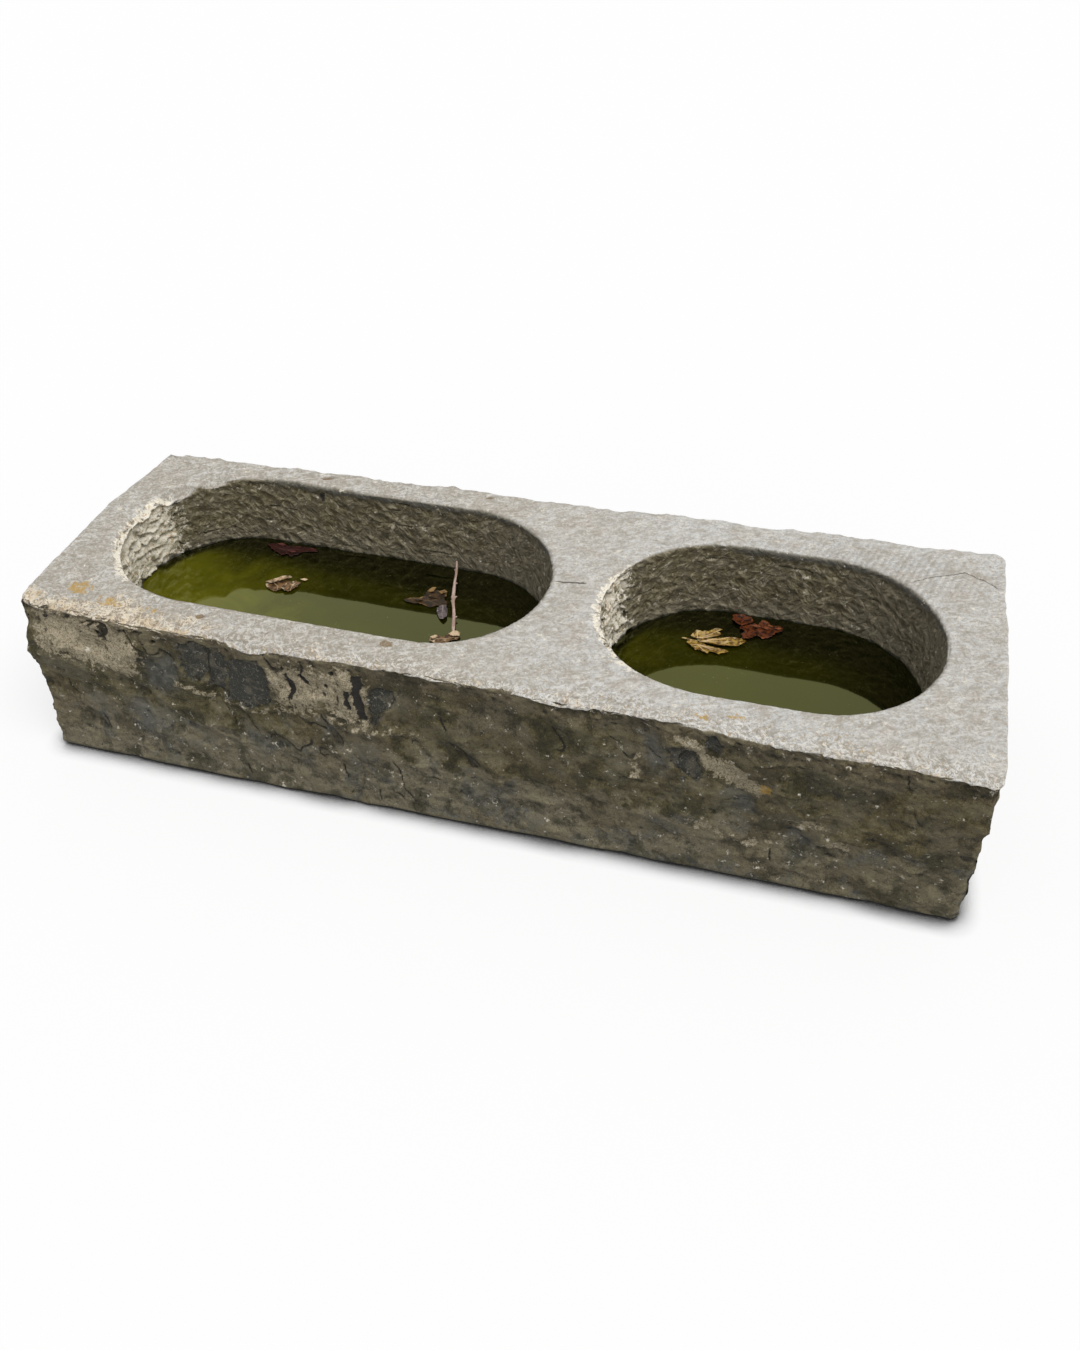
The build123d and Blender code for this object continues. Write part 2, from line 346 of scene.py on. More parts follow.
@dataclass(frozen=True)
class Stadium:
    """A basin's rim seen from above: a straight-sided oval with round ends.

    Attributes:
        middle: Its middle.
        length: Its whole length.
        width: Its whole width.
        turn: Its turn in degrees.
        water: Height of the water's surface.
        bed: Height of the basin's floor.
        cream: How far the bend at its narrow end is broken to cream stone.
    """

    middle: Point
    length: float
    width: float
    turn: float
    water: float
    bed: float
    cream: float = 1.0

    @property
    def radius(self) -> float:
        """Radius of the round ends."""
        return self.width / 2.0

    @property
    def straight(self) -> float:
        """Half the length of the straight sides."""
        return (self.length - self.width) / 2.0

    @property
    def around(self) -> float:
        """Length of the rim, all round."""
        return 4.0 * self.straight + 2.0 * math.pi * self.radius

    def inside(self, x: Array, y: Array) -> tuple[Array, Array]:
        """Turns places into the basin's own axes."""
        angle = math.radians(self.turn)
        dx, dy = x - self.middle[0], y - self.middle[1]
        return dx * math.cos(angle) + dy * math.sin(angle), dy * math.cos(angle) - dx * math.sin(angle)

    def gap(self, x: Array, y: Array) -> Array:
        """Gives the distance outside the rim, below 0 inside it."""
        along, across = self.inside(x, y)
        return np.hypot(np.maximum(np.abs(along) - self.straight, 0.0), across) - self.radius

    def travel(self, x: Array, y: Array) -> Array:
        """Gives how far round the rim each place is.

        Args:
            x: Places along the stone.
            y: Places across it.

        Returns:
            Lengths from the middle of the back, growing towards the wide end and on round the front.
        """
        along, across = self.inside(x, y)
        past = np.clip(np.abs(along) - self.straight, 0.0, None)
        angle = np.arctan2(past, across)
        half = np.where(
            across > 0.0,
            np.minimum(np.abs(along), self.straight) + self.radius * angle,
            2.0 * self.straight + self.radius * angle - np.minimum(np.abs(along), self.straight),
        )
        half = np.where((past > 0.0) & (across <= 0.0), self.straight + self.radius * angle, half)
        return np.where(along >= 0.0, half, -half)

    def away(self, x: Array, y: Array) -> tuple[Array, Array]:
        """Gives the level direction from the basin's middle line to each place.

        Args:
            x: Places along the stone.
            y: Places across it.

        Returns:
            The direction's two parts, of length 1 together.
        """
        angle = math.radians(self.turn)
        along, across = self.inside(x, y)
        out = along - np.clip(along, -self.straight, self.straight)
        length = np.maximum(np.hypot(out, across), 1e-6)
        out, across = out / length, across / length
        return out * math.cos(angle) - across * math.sin(angle), out * math.sin(angle) + across * math.cos(angle)

    def ring(self, count: int, grow: float) -> list[Point]:
        """Walks round the rim.

        Args:
            count: Points in each round end.
            grow: How far outside the rim to walk.

        Returns:
            The points, counter-clockwise from the front.
        """
        angle = math.radians(self.turn)
        points = []
        for end, start in ((1.0, -90.0), (-1.0, 90.0)):
            for step in range(count):
                around = math.radians(start + 180.0 * step / (count - 1))
                x = end * self.straight + (self.radius + grow) * math.cos(around)
                y = (self.radius + grow) * math.sin(around)
                points.append((
                    self.middle[0] + x * math.cos(angle) - y * math.sin(angle),
                    self.middle[1] + x * math.sin(angle) + y * math.cos(angle),
                ))
        return points


LONG_BASIN = Stadium((-374.7, 4.9), 887.0, 431.0, -0.47, 200.5, 93.8)
SHORT_BASIN = Stadium((491.5, 0.9), 627.0, 443.0, 0.1, 193.5, 93.8, 0.66)
LONG_WATER = Stadium((-385.7, 5.0), 884.0, 410.0, -0.47, 200.5, 93.8)
SHORT_WATER = Stadium((487.5, 0.9), 610.0, 419.0, 0.1, 193.5, 93.8)


class Graph:
    """A node tree, built call by call."""

    def __init__(self, owner: bpy.types.Material | bpy.types.World) -> None:
        """Empties the owner's tree.

        Args:
            owner: The material or the world whose tree it is.
        """
        self.owner = owner
        owner.use_nodes = True
        self.tree = owner.node_tree
        self.tree.nodes.clear()

    def node(self, kind: str, **settings: object) -> bpy.types.Node:
        """Adds a node and sets its options."""
        made = self.tree.nodes.new(kind)
        for key, value in settings.items():
            setattr(made, key, value)
        return made

    def feed(self, socket: Socket, value: object) -> None:
        """Links an output to a socket, or sets a constant on it.

        Args:
            socket: The input.
            value: An output socket, a number or a colour.
        """
        if isinstance(value, Socket):
            self.tree.links.new(value, socket)
        elif isinstance(value, tuple) and socket.type == "RGBA":
            socket.default_value = (*value, 1.0)
        else:
            socket.default_value = value

    def fill(self, made: bpy.types.Node, **sockets: object) -> bpy.types.Node:
        """Feeds a node's inputs, each named with _ for a space.

        Args:
            made: The node.
            **sockets: An output socket, a number or a colour for each input.

        Returns:
            The node.
        """
        for key, value in sockets.items():
            self.feed(made.inputs[key.replace("_", " ")], value)
        return made

    def field(self, name: str) -> Socket:
        """Reads a value that the mesh carries."""
        return self.node("ShaderNodeAttribute", attribute_name=name).outputs["Fac"]

    def place(self, stretch: Colour = (1.0, 1.0, 1.0), turn: float = 0.0, tilt: float = 0.0) -> Socket:
        """Gives the place on the object, turned and then stretched.

        Args:
            stretch: Length of what is drawn along each of the turned axes.
            turn: Degrees about the vertical.
            tilt: Degrees about the stone's depth.

        Returns:
            The place's socket.
        """
        made = self.node("ShaderNodeMapping", vector_type="TEXTURE")
        turned = (0.0, math.radians(tilt), math.radians(turn))
        place = self.node("ShaderNodeTexCoord").outputs["Object"]
        return self.fill(made, Vector=place, Scale=stretch, Rotation=turned).outputs["Vector"]

    def noise(
        self,
        size: float,
        detail: float = 3.0,
        rough: float = 0.55,
        place: Socket | None = None,
        warp: float = 0.0,
    ) -> Socket:
        """Adds noise.

        Args:
            size: Length of its swells in millimetres.
            detail: Octaves.
            rough: Strength of each octave against the one before.
            place: Where to read it, or none for the plain place.
            warp: How far it bends itself.

        Returns:
            Values from 0 to 1.
        """
        made, scale = self.node("ShaderNodeTexNoise"), 1.0 / (size * MILLIMETRE)
        self.fill(made, Vector=place or self.place(), Scale=scale, Detail=detail, Roughness=rough, Distortion=warp)
        return made.outputs[0]

    def ramp(self, value: object, low: float, high: float, start: float = 0.0, end: float = 1.0) -> Socket:
        """Eases from one level to another.

        Args:
            value: What is read.
            low: Where it starts.
            high: Where it ends.
            start: Level at and below low.
            end: Level at and above high.

        Returns:
            The level.
        """
        made = self.node("ShaderNodeMapRange", interpolation_type="SMOOTHSTEP")
        return self.fill(made, Value=value, From_Min=low, From_Max=high, To_Min=start, To_Max=end).outputs["Result"]

    def calc(self, operation: str, first: object, second: object = 0.0) -> Socket:
        """Combines two values by one operation."""
        made = self.node("ShaderNodeMath", operation=operation)
        self.feed(made.inputs[0], first)
        self.feed(made.inputs[1], second)
        return made.outputs[0]

    def total(self, *values: object) -> Socket:
        """Adds values up."""
        return functools.reduce(functools.partial(self.calc, "ADD"), values)

    def product(self, *values: object) -> Socket:
        """Multiplies values."""
        return functools.reduce(functools.partial(self.calc, "MULTIPLY"), values)

    def mix(self, share: object, first: object, second: object, blend: str = "MIX") -> Socket:
        """Mixes two colours.

        Args:
            share: Share of the second.
            first: A colour or its socket.
            second: A colour or its socket.
            blend: How the second is laid on the first.

        Returns:
            The colour's socket.
        """
        made = self.node("ShaderNodeMix", data_type="RGBA", blend_type=blend)
        self.feed(made.inputs[0], share)
        self.feed(made.inputs[6], first)
        self.feed(made.inputs[7], second)
        return made.outputs[2]

    def layers(self, colour: object, *rows: tuple[object, ...]) -> Socket:
        """Lays tints on a colour, each where a noise or a field says so.

        Args:
            colour: The colour below them.
            *rows: What is read, where the tint starts, where it is full, its share there, the tint and,
                if it isn't plainly mixed in, how it is laid on.

        Returns:
            The colour with them.
        """
        for value, low, high, share, tint, *blend in rows:
            colour = self.mix(self.ramp(value, low, high, 0.0, share), colour, tint, *blend)
        return colour

    def edge(self, cover: object, spread: object, soft: float = 0.06) -> Socket:
        """Turns a soft cover into a patch with a ragged border.

        Args:
            cover: 0.5 on the border.
            spread: Noise about 0 that moves the border.
            soft: Half width of the border's fade.

        Returns:
            The patch, 0 or 1 but for its border.
        """
        return self.ramp(self.total(cover, spread), 0.5 - soft, 0.5 + soft)

    def bump(self, height: object, distance: float, strength: object = 1.0, under: object = None) -> Socket:
        """Adds fine relief.

        Args:
            height: Heights from 0 to 1.
            distance: Length in millimetres that 1 stands for.
            strength: Share of the relief that shows.
            under: Another relief that this one is laid on.

        Returns:
            The normal's socket.
        """
        made = self.node("ShaderNodeBump")
        self.fill(made, Distance=distance * MILLIMETRE, Strength=strength, Height=height)
        if under is not None:
            self.fill(made, Normal=under)
        return made.outputs["Normal"]

    def seen(self) -> tuple[Socket, Socket]:
        """Tells which rays look at a thing.

        Returns:
            1 for a ray from the camera, a gloss or a clear surface, and 1 for a ray of diffuse light.
        """
        path = self.node("ShaderNodeLightPath").outputs
        looking = self.calc("MAXIMUM", path["Is Camera Ray"], path["Is Glossy Ray"])
        return self.calc("MAXIMUM", looking, path["Is Transmission Ray"]), path["Is Diffuse Ray"]

    def end(self, kind: str, surface: Socket) -> bpy.types.Material | bpy.types.World:
        """Links the last shader to the tree's output and gives the owner."""
        self.fill(self.node(kind), Surface=surface)
        return self.owner

    def close(self, colour: object, rough: object, normal: object, **sockets: object) -> bpy.types.Material:
        """Ends the tree with its shader.

        Args:
            colour: Base colour.
            rough: Roughness.
            normal: Relief.
            **sockets: Other inputs of the shader, with _ for a space.

        Returns:
            The material.
        """
        shader = self.node("ShaderNodeBsdfPrincipled")
        self.fill(shader, Base_Color=colour, Roughness=rough, Normal=normal, **sockets)
        return self.end("ShaderNodeOutputMaterial", shader.outputs[0])


def material_graph(name: str) -> Graph:
    """Starts the tree of a new material."""
    return Graph(bpy.data.materials.new(name))


class StoneGraph(Graph):
    """The stone's node tree, with the noises that all its colours share."""

    def __init__(self) -> None:
        """Starts the tree and its noises."""
        super().__init__(bpy.data.materials.new("trough_stone"))
        self.coarse = self.noise(190.0)
        self.cloud = self.noise(62.0, 4.0, 0.6)
        self.middle = self.noise(30.0, 4.0, 0.62, warp=0.6)
        self.mottle = self.noise(14.0, 4.0, 0.6, warp=2.0)
        self.swirl = self.noise(9.0, 4.0, 0.62, warp=3.2)
        self.whorl = self.noise(18.0, 4.0, 0.6, warp=2.6)
        self.streak = self.noise(11.0, 3.0, 0.6, place=self.place((2.4, 0.8, 1.0), 24.0), warp=1.0)
        rising = self.noise(10.0, 2.0, 0.5, place=self.place((2.2, 1.3, 0.85), tilt=44.0), warp=0.8)
        falling = self.noise(10.0, 2.0, 0.5, place=self.place((2.2, 1.3, 0.85), tilt=-34.0), warp=0.8)
        share = self.ramp(self.noise(40.0, 2.0), 0.46, 0.54)
        self.picks = self.total(self.product(rising, share), self.product(falling, self.calc("SUBTRACT", 1.0, share)))
        self.fleck = self.noise(3.4, 3.0, 0.6)
        self.drift = self.noise(88.0, 3.0, 0.6, warp=0.8)
        self.ragged = self.sway(self.noise(15.0, 5.0, 0.72), 3.2)
        # fine and broad are the carved mesh's ridges and hollows. raised and keen add noise to them, and the colours
        # use them to lay painted shade in hollows and creases and painted highlights on ridges.
        self.fine, self.broad = self.field("fine"), self.field("broad")
        self.raised = self.total(self.product(self.broad, 0.15), self.product(self.mottle, 0.9))
        self.keen = self.total(self.product(self.fine, 0.30), self.product(self.fleck, 0.6))
        wave = self.node("ShaderNodeTexWave", wave_type="BANDS", bands_direction="X")
        self.lines = self.fill(wave, Vector=self.place(turn=-16.0), Scale=26.0, Distortion=2.5).outputs["Fac"]

    def sway(self, value: object, amount: float) -> Socket:
        """Centres noise about 0."""
        return self.calc("MULTIPLY", self.calc("SUBTRACT", value, 0.5), amount)


@dataclass(frozen=True)
class StoneFinish:
    """Weathered grey limestone: picked and pale on top, dark and rough below.

    Attributes:
        top_cool: Cool grey of the top.
        top_warm: Warm grey of the top.
        wall_dark: Hollows of the basins' walls, darkened there as painted shade.
        wall_light: Ridges of the basins' walls, lightened there as painted highlight.
        olive: The outer faces' upper part.
        grey: The outer faces' lower part.
        brown: The outer faces at the wide end.
        slate: The dark bare flats.
        tan: The pale crust on the outer faces.
        cream: The cream broken stone.
        lichen: The orange-yellow lichen.
    """

    top_cool: Colour = (0.59, 0.588, 0.572)
    top_warm: Colour = (0.475, 0.44, 0.385)
    wall_dark: Colour = (0.112, 0.093, 0.050)
    wall_light: Colour = (0.29, 0.252, 0.162)
    olive: Colour = (0.102, 0.086, 0.038)
    grey: Colour = (0.245, 0.217, 0.153)
    brown: Colour = (0.140, 0.112, 0.050)
    slate: Colour = (0.044, 0.044, 0.037)
    tan: Colour = (0.54, 0.47, 0.335)
    cream: Colour = (0.97, 0.915, 0.79)
    lichen: Colour = (0.50, 0.31, 0.07)

    def upper(self, g: StoneGraph) -> Socket:
        """Colours the top.

        Args:
            g: The stone's tree.

        Returns:
            The colour.
        """
        warmth = g.total(g.coarse, g.product(g.field("warm"), 0.5), g.sway(g.cloud, 0.9))
        colour = g.mix(g.ramp(warmth, 0.42, 0.82), self.top_cool, self.top_warm)
        colour = g.layers(
            colour,
            (g.cloud, 0.52, 0.60, 0.55, (0.635, 0.645, 0.64)),
            (g.cloud, 0.49, 0.40, 0.6, (0.49, 0.42, 0.345)),
            (g.middle, 0.51, 0.60, 0.5, (0.69, 0.675, 0.63)),
            (g.middle, 0.49, 0.40, 0.5, (0.43, 0.39, 0.33)),
        )
        narrow = g.ramp(g.field("warm"), 0.35, 0.95, 0.0, 0.75)
        colour = g.mix(g.product(g.ramp(g.whorl, 0.53, 0.43), narrow), colour, (0.37, 0.335, 0.285))
        colour = g.layers(
            colour,
            (g.mottle, 0.52, 0.60, 0.3, (0.76, 0.745, 0.70)),
            (g.mottle, 0.47, 0.38, 0.3, (0.37, 0.335, 0.28)),
            (g.streak, 0.53, 0.61, 0.5, (0.77, 0.755, 0.71)),
            (g.streak, 0.47, 0.40, 0.4, (0.37, 0.335, 0.28)),
        )
        strip = g.field("front_strip")
        for noise, low, high, behind, ahead, tint in (
            (g.whorl, 0.50, 0.57, 0.2, 0.7, (0.84, 0.82, 0.77)),
            (g.whorl, 0.475, 0.41, 0.3, 0.6, (0.37, 0.33, 0.265)),
            (g.swirl, 0.46, 0.40, 0.25, 0.8, (0.33, 0.285, 0.215)),
        ):
            colour = g.mix(g.product(g.ramp(noise, low, high), g.ramp(strip, 0.0, 1.0, behind, ahead)), colour, tint)
        # Painted shade in the top's hollows and painted highlights on its sharp ridges.
        colour = g.layers(
            colour,
            (g.raised, 0.40, 0.05, 0.6, (0.27, 0.235, 0.185)),
            (g.keen, 0.52, 1.0, 0.5, (0.86, 0.84, 0.79)),
        )
        flecks = g.product(g.ramp(g.noise(5.0, 2.0), 0.57, 0.64), g.ramp(g.cloud, 0.46, 0.56))
        colour = g.mix(g.product(flecks, g.ramp(strip, 0.0, 1.0, 0.5, 0.85)), colour, (0.42, 0.31, 0.18))
        tooled = g.product(g.field("tooled"), g.ramp(g.lines, 0.35, 0.8, 0.0, 0.4))
        colour = g.mix(tooled, colour, (0.40, 0.385, 0.35))
        specks = g.ramp(g.noise(4.0, 2.0), 0.66, 0.71, 0.0, 0.5)
        return g.mix(specks, colour, (0.16, 0.14, 0.11))

    def inner(self, g: StoneGraph) -> Socket:
        """Colours the basins' walls.

        Args:
            g: The stone's tree.

        Returns:
            The colour.
        """
        # Painted shade in the walls' hollows and painted highlights on their ridges.
        colour = g.mix(g.ramp(g.raised, 0.14, 0.80), self.wall_dark, self.wall_light)
        return g.layers(
            colour,
            (g.middle, 0.46, 0.56, 0.4, (0.20, 0.18, 0.14)),
            (g.field("foot"), 0.0, 1.0, 0.4, (0.30, 0.27, 0.205)),
            (g.field("far_end"), 0.0, 1.0, 0.4, (0.33, 0.29, 0.22)),
            # Painted shade in the pick marks' hollows and painted highlights on their ridges, by the noise that also
            # bumps them.
            (g.picks, 0.46, 0.39, 0.55, (0.07, 0.058, 0.030)),
            (g.picks, 0.56, 0.62, 0.6, (0.50, 0.44, 0.315)),
            (g.field("dusk"), 0.0, 1.0, 0.7, (0.105, 0.11, 0.105)),
            # Painted highlights on sharp ridges and painted shade in creases.
            (g.keen, 0.46, 0.86, 0.8, (0.54, 0.48, 0.37)),
            (g.keen, 0.14, -0.2, 0.8, (0.045, 0.038, 0.022)),
        )

    def outer(self, g: StoneGraph) -> Socket:
        """Colours the outer faces.

        Args:
            g: The stone's tree.

        Returns:
            The colour.
        """
        low = g.ramp(g.total(g.field("low"), g.sway(g.cloud, 2.6)), 0.25, 0.75)
        colour = g.mix(low, self.olive, self.grey)
        brown = g.ramp(g.total(g.field("brown"), g.sway(g.cloud, 1.8)), 0.3, 0.8, 0.0, 0.8)
        brown = g.product(brown, g.ramp(low, 0.0, 1.0, 1.0, 0.4))
        colour = g.mix(brown, colour, self.brown)
        colour = g.mix(g.ramp(g.coarse, 0.50, 0.60, 0.0, 0.5), colour, (0.185, 0.145, 0.085))
        drift = g.product(g.ramp(g.drift, 0.51, 0.59, 0.0, 0.7), g.ramp(low, 0.0, 1.0, 0.35, 1.0))
        colour = g.mix(drift, colour, (0.135, 0.139, 0.13))
        lip = g.product(g.field("lip"), g.ramp(g.middle, 0.40, 0.56, 0.3, 0.9))
        colour = g.mix(lip, colour, (0.165, 0.132, 0.088))
        colour = g.layers(
            colour,
            # Painted shade in the hollows and painted highlights on the raised parts.
            (g.raised, 0.47, 0.10, 1.0, (0.36, 0.36, 0.34), "MULTIPLY"),
            (g.raised, 0.48, 0.95, 0.6, (0.28, 0.242, 0.14)),
            (g.middle, 0.51, 0.60, 0.4, (0.22, 0.195, 0.118)),
            (g.middle, 0.47, 0.39, 1.0, (0.58, 0.58, 0.53), "MULTIPLY"),
            (g.swirl, 0.54, 0.62, 0.28, (0.31, 0.275, 0.18)),
            (g.swirl, 0.47, 0.38, 1.0, (0.62, 0.61, 0.56), "MULTIPLY"),
            (g.cloud, 0.49, 0.41, 1.0, (0.56, 0.57, 0.55), "MULTIPLY"),
            (g.cloud, 0.51, 0.59, 0.4, (0.22, 0.195, 0.125)),
        )
        stain = g.ramp(g.total(g.field("stain"), g.product(g.ragged, 0.5)), 0.2, 0.9, 0.0, 0.75)
        colour = g.mix(stain, colour, g.mix(g.ramp(g.middle, 0.42, 0.58), (0.082, 0.084, 0.076), (0.17, 0.17, 0.15)))
        torn = g.product(g.ragged, g.ramp(g.field("tan"), 0.05, 0.32, 0.35, 1.0))
        crust = g.edge(g.field("tan"), torn, 0.14)
        colour = g.mix(g.product(crust, g.ramp(g.raised, 0.0, 0.4, 0.45, 1.0)), colour,
                       g.mix(g.ramp(g.swirl, 0.42, 0.54), (0.25, 0.205, 0.13), self.tan))
        flats = g.edge(g.field("slate"), g.ragged, 0.10)
        bare = g.mix(g.ramp(g.middle, 0.48, 0.62), self.slate, (0.115, 0.107, 0.08))
        bare = g.mix(g.ramp(g.swirl, 0.57, 0.64, 0.0, 0.6), bare, (0.34, 0.32, 0.26))
        colour = g.mix(flats, colour, bare)
        return g.layers(
            colour,
            # Painted highlights on sharp ridges and painted shade in creases, then the dark clefts.
            (g.keen, 0.74, 1.4, 0.25, (0.36, 0.31, 0.21)),
            (g.keen, 0.08, -0.3, 0.85, (0.022, 0.02, 0.014)),
            (g.field("cleft"), 0.2, 0.9, 0.55, (0.03, 0.027, 0.02)),
        )

    def marks(self, g: StoneGraph, colour: Socket) -> Socket:
        """Lays the patches, lichen, cracks, damp line and painted shade on the colour.

        Args:
            g: The stone's tree.
            colour: The colour below them.

        Returns:
            The colour with them.
        """
        broken = g.edge(g.field("cream"), g.ragged, 0.16)
        pale = g.mix(g.ramp(g.swirl, 0.38, 0.46), (0.88, 0.80, 0.64), self.cream)
        pale = g.layers(
            pale,
            (g.mottle, 0.55, 0.62, 0.6, (0.80, 0.66, 0.43)),
            # Painted shade in the cream stone's creases.
            (g.keen, -0.2, -0.8, 0.4, (0.38, 0.31, 0.20)),
        )
        colour = g.mix(g.product(broken, g.ramp(g.fleck, 0.2, 0.45, 0.8, 1.0)), colour, pale)
        crust = g.edge(g.field("crumb"), g.product(g.ragged, 0.7), 0.18)
        crumbs = g.mix(g.ramp(g.whorl, 0.44, 0.54), (0.34, 0.265, 0.185), (0.76, 0.655, 0.49))
        crumbs = g.layers(
            crumbs,
            (g.swirl, 0.51, 0.60, 0.8, (0.94, 0.88, 0.77)),
            # Painted shade in the gaps between the crumbs.
            (g.raised, 0.30, -0.20, 0.75, (0.20, 0.15, 0.10)),
            (g.cloud, 0.54, 0.61, 0.45, (0.62, 0.45, 0.23)),
        )
        colour = g.mix(g.product(crust, 0.9), colour, crumbs)
        soil = g.edge(g.field("soil"), g.product(g.ragged, 0.6), 0.14)
        colour = g.mix(g.product(soil, g.ramp(g.fleck, 0.35, 0.6, 0.6, 0.95)), colour, (0.235, 0.165, 0.085))
        rust = g.product(g.ramp(g.noise(9.0, 3.0, 0.6, warp=1.0), 0.55, 0.64), g.ramp(g.field("cream"), 0.3, 0.8))
        colour = g.mix(g.product(rust, 0.7), colour, (0.46, 0.28, 0.10))
        spots = g.edge(g.field("lichen"), g.product(g.ragged, g.ramp(g.field("lichen"), 0.02, 0.3)), 0.12)
        colour = g.mix(g.product(spots, g.ramp(g.fleck, 0.3, 0.6, 0.35, 0.9)), colour, self.lichen)
        # Painted shade in the holes, a pit, the nooks and the shadow spots, and the dark grooves.
        colour = g.mix(g.edge(g.field("dark"), g.product(g.ragged, 0.6), 0.10), colour, (0.030, 0.028, 0.024))
        wander = g.sway(g.noise(9.0), 7.0)
        gap = g.calc("ABSOLUTE", g.total(g.field("crack"), wander))
        cleft = g.product(g.calc("LESS_THAN", gap, g.field("crack_width")), 0.85)
        colour = g.mix(cleft, colour, (0.09, 0.08, 0.065))
        return g.mix(g.ramp(g.field("damp"), 0.0, 1.0, 0.0, 0.92), colour, (0.014, 0.014, 0.009))

    def make(self) -> bpy.types.Material:
        """Builds the material.

        Returns:
            The stone's material, which reads the fields that the stone's mesh carries.
        """
        g = StoneGraph()
        top = g.field("top")
        colour = g.mix(g.field("wall"), self.outer(g), self.inner(g))
        colour = self.marks(g, g.mix(top, colour, self.upper(g)))
        relief = g.bump(g.noise(6.5, 4.0, 0.65, warp=0.8), 4.0, g.ramp(top, 0.0, 1.0, 0.9, 0.6))
        plain = g.calc("SUBTRACT", 1.0, g.field("cream"))
        relief = g.bump(g.picks, 9.0, g.product(g.field("wall"), plain, 0.6), relief)
        relief = g.bump(g.noise(2.4, 2.0, 0.6), 1.2, 0.6, relief)
        relief = g.bump(g.lines, 1.2, g.product(g.field("tooled"), 0.9), relief)
        return g.close(colour, g.ramp(g.field("damp"), 0.0, 1.0, 0.88, 0.35), relief)


@dataclass(frozen=True)
class WaterFinish:
    """Still green water, glossy, brighter at the basins' narrow ends.

    Attributes:
        bright: Colour where it is shallow and lit.
        deep: Colour away from that.
        black: Painted shade colour under the back wall.
        scum: The film that lies on it.
    """

    bright: Colour = (0.102, 0.100, 0.004)
    deep: Colour = (0.019, 0.019, 0.0006)
    black: Colour = (0.004, 0.004, 0.0012)
    scum: Colour = (0.17, 0.165, 0.03)

    def make(self) -> bpy.types.Material:
        """Builds the material.

        Returns:
            The water's material, which reads the fields that the water's mesh carries.
        """
        g = material_graph("green_water")
        cloud = g.noise(120.0, 4.0, 0.6, warp=0.6)
        sway = g.product(g.calc("SUBTRACT", cloud, 0.5), g.ramp(g.field("lit"), 0.0, 0.5, 0.5, 1.4))
        lit = g.total(g.field("lit"), sway)
        colour = g.mix(g.ramp(lit, 0.0, 1.0), self.deep, self.bright)
        # Painted shade: darker towards the back and the wide end, darkest along the back wall.
        colour = g.mix(g.ramp(g.field("shade"), 0.0, 1.0), colour, self.black)
        film = g.ramp(g.noise(42.0, 5.0, 0.7, warp=1.2), 0.58, 0.75, 0.0, 0.2)
        colour = g.mix(g.product(film, g.field("lit")), colour, self.scum)
        specks = g.ramp(g.noise(3.2, 1.0), 0.74, 0.78, 0.0, 0.6)
        colour = g.mix(g.product(specks, g.ramp(g.noise(90.0), 0.5, 0.62)), colour, (0.32, 0.31, 0.14))
        relief = g.bump(g.noise(70.0, 2.0), 0.35, 0.4)
        return g.close(colour, 0.04, relief, IOR=1.70, Specular_Tint=(0.95, 1.0, 0.26))


@dataclass(frozen=True)
class LeafFinish:
    """A dead leaf.

    Attributes:
        name: Its material's name.
        dark: Its darkest colour.
        light: Its lightest colour.
        vein: Colour of its veins.
        rim: Colour of the painted highlight on its curled edge and its pale patches.
        rough: Roughness: low where it is wet.
    """

    name: str
    dark: Colour
    light: Colour
    vein: Colour
    rim: Colour
    rough: float = 0.45

    def make(self) -> bpy.types.Material:
        """Builds the material.

        Returns:
            The leaf's material, which reads the veins and the rim from the leaf's mesh.
        """
        g = material_graph(self.name)
        body = g.mix(g.ramp(g.noise(8.0, 4.0, 0.62), 0.43, 0.57), self.dark, self.light)
        # Painted highlights: the rim colour laid on the curled edge and on the pale patches.
        edge = g.product(g.ramp(g.field("rim"), 0.4, 0.8), g.ramp(g.noise(12.0, 2.0), 0.46, 0.56))
        body = g.mix(edge, body, self.rim)
        pale = g.total(g.field("pale"), g.product(g.calc("SUBTRACT", g.noise(11.0), 0.5), 2.5))
        body = g.mix(g.product(g.ramp(pale, 0.25, 0.9), g.ramp(g.field("pale"), 0.0, 0.1)), body, self.rim)
        body = g.mix(g.ramp(g.field("vein"), 0.35, 0.75), body, self.vein)
        relief = g.bump(g.noise(3.0), 0.6, 0.6)
        return g.close(body, self.rough, relief)


LEAF_FINISHES = (
    LeafFinish("pale_leaf", (0.05, 0.026, 0.010), (0.20, 0.11, 0.045), (0.42, 0.30, 0.17), (0.66, 0.50, 0.32)),
    LeafFinish(
        "red_leaf", (0.012, 0.003, 0.002), (0.035, 0.007, 0.005), (0.05, 0.016, 0.012), (0.13, 0.04, 0.035), 0.5
    ),
    LeafFinish(
        "brown_leaf", (0.016, 0.010, 0.005), (0.06, 0.034, 0.014), (0.10, 0.065, 0.03), (0.28, 0.17, 0.065), 0.5
    ),
    LeafFinish("yellow_leaf", (0.11, 0.052, 0.009), (0.42, 0.265, 0.05), (0.68, 0.50, 0.28), (0.70, 0.55, 0.30)),
    LeafFinish(
        "russet_leaf", (0.018, 0.005, 0.002), (0.13, 0.030, 0.006), (0.10, 0.028, 0.009), (0.25, 0.085, 0.035), 0.5
    ),
    LeafFinish("husk", (0.06, 0.048, 0.048), (0.17, 0.135, 0.13), (0.28, 0.23, 0.21), (0.36, 0.30, 0.28), 0.6),
)


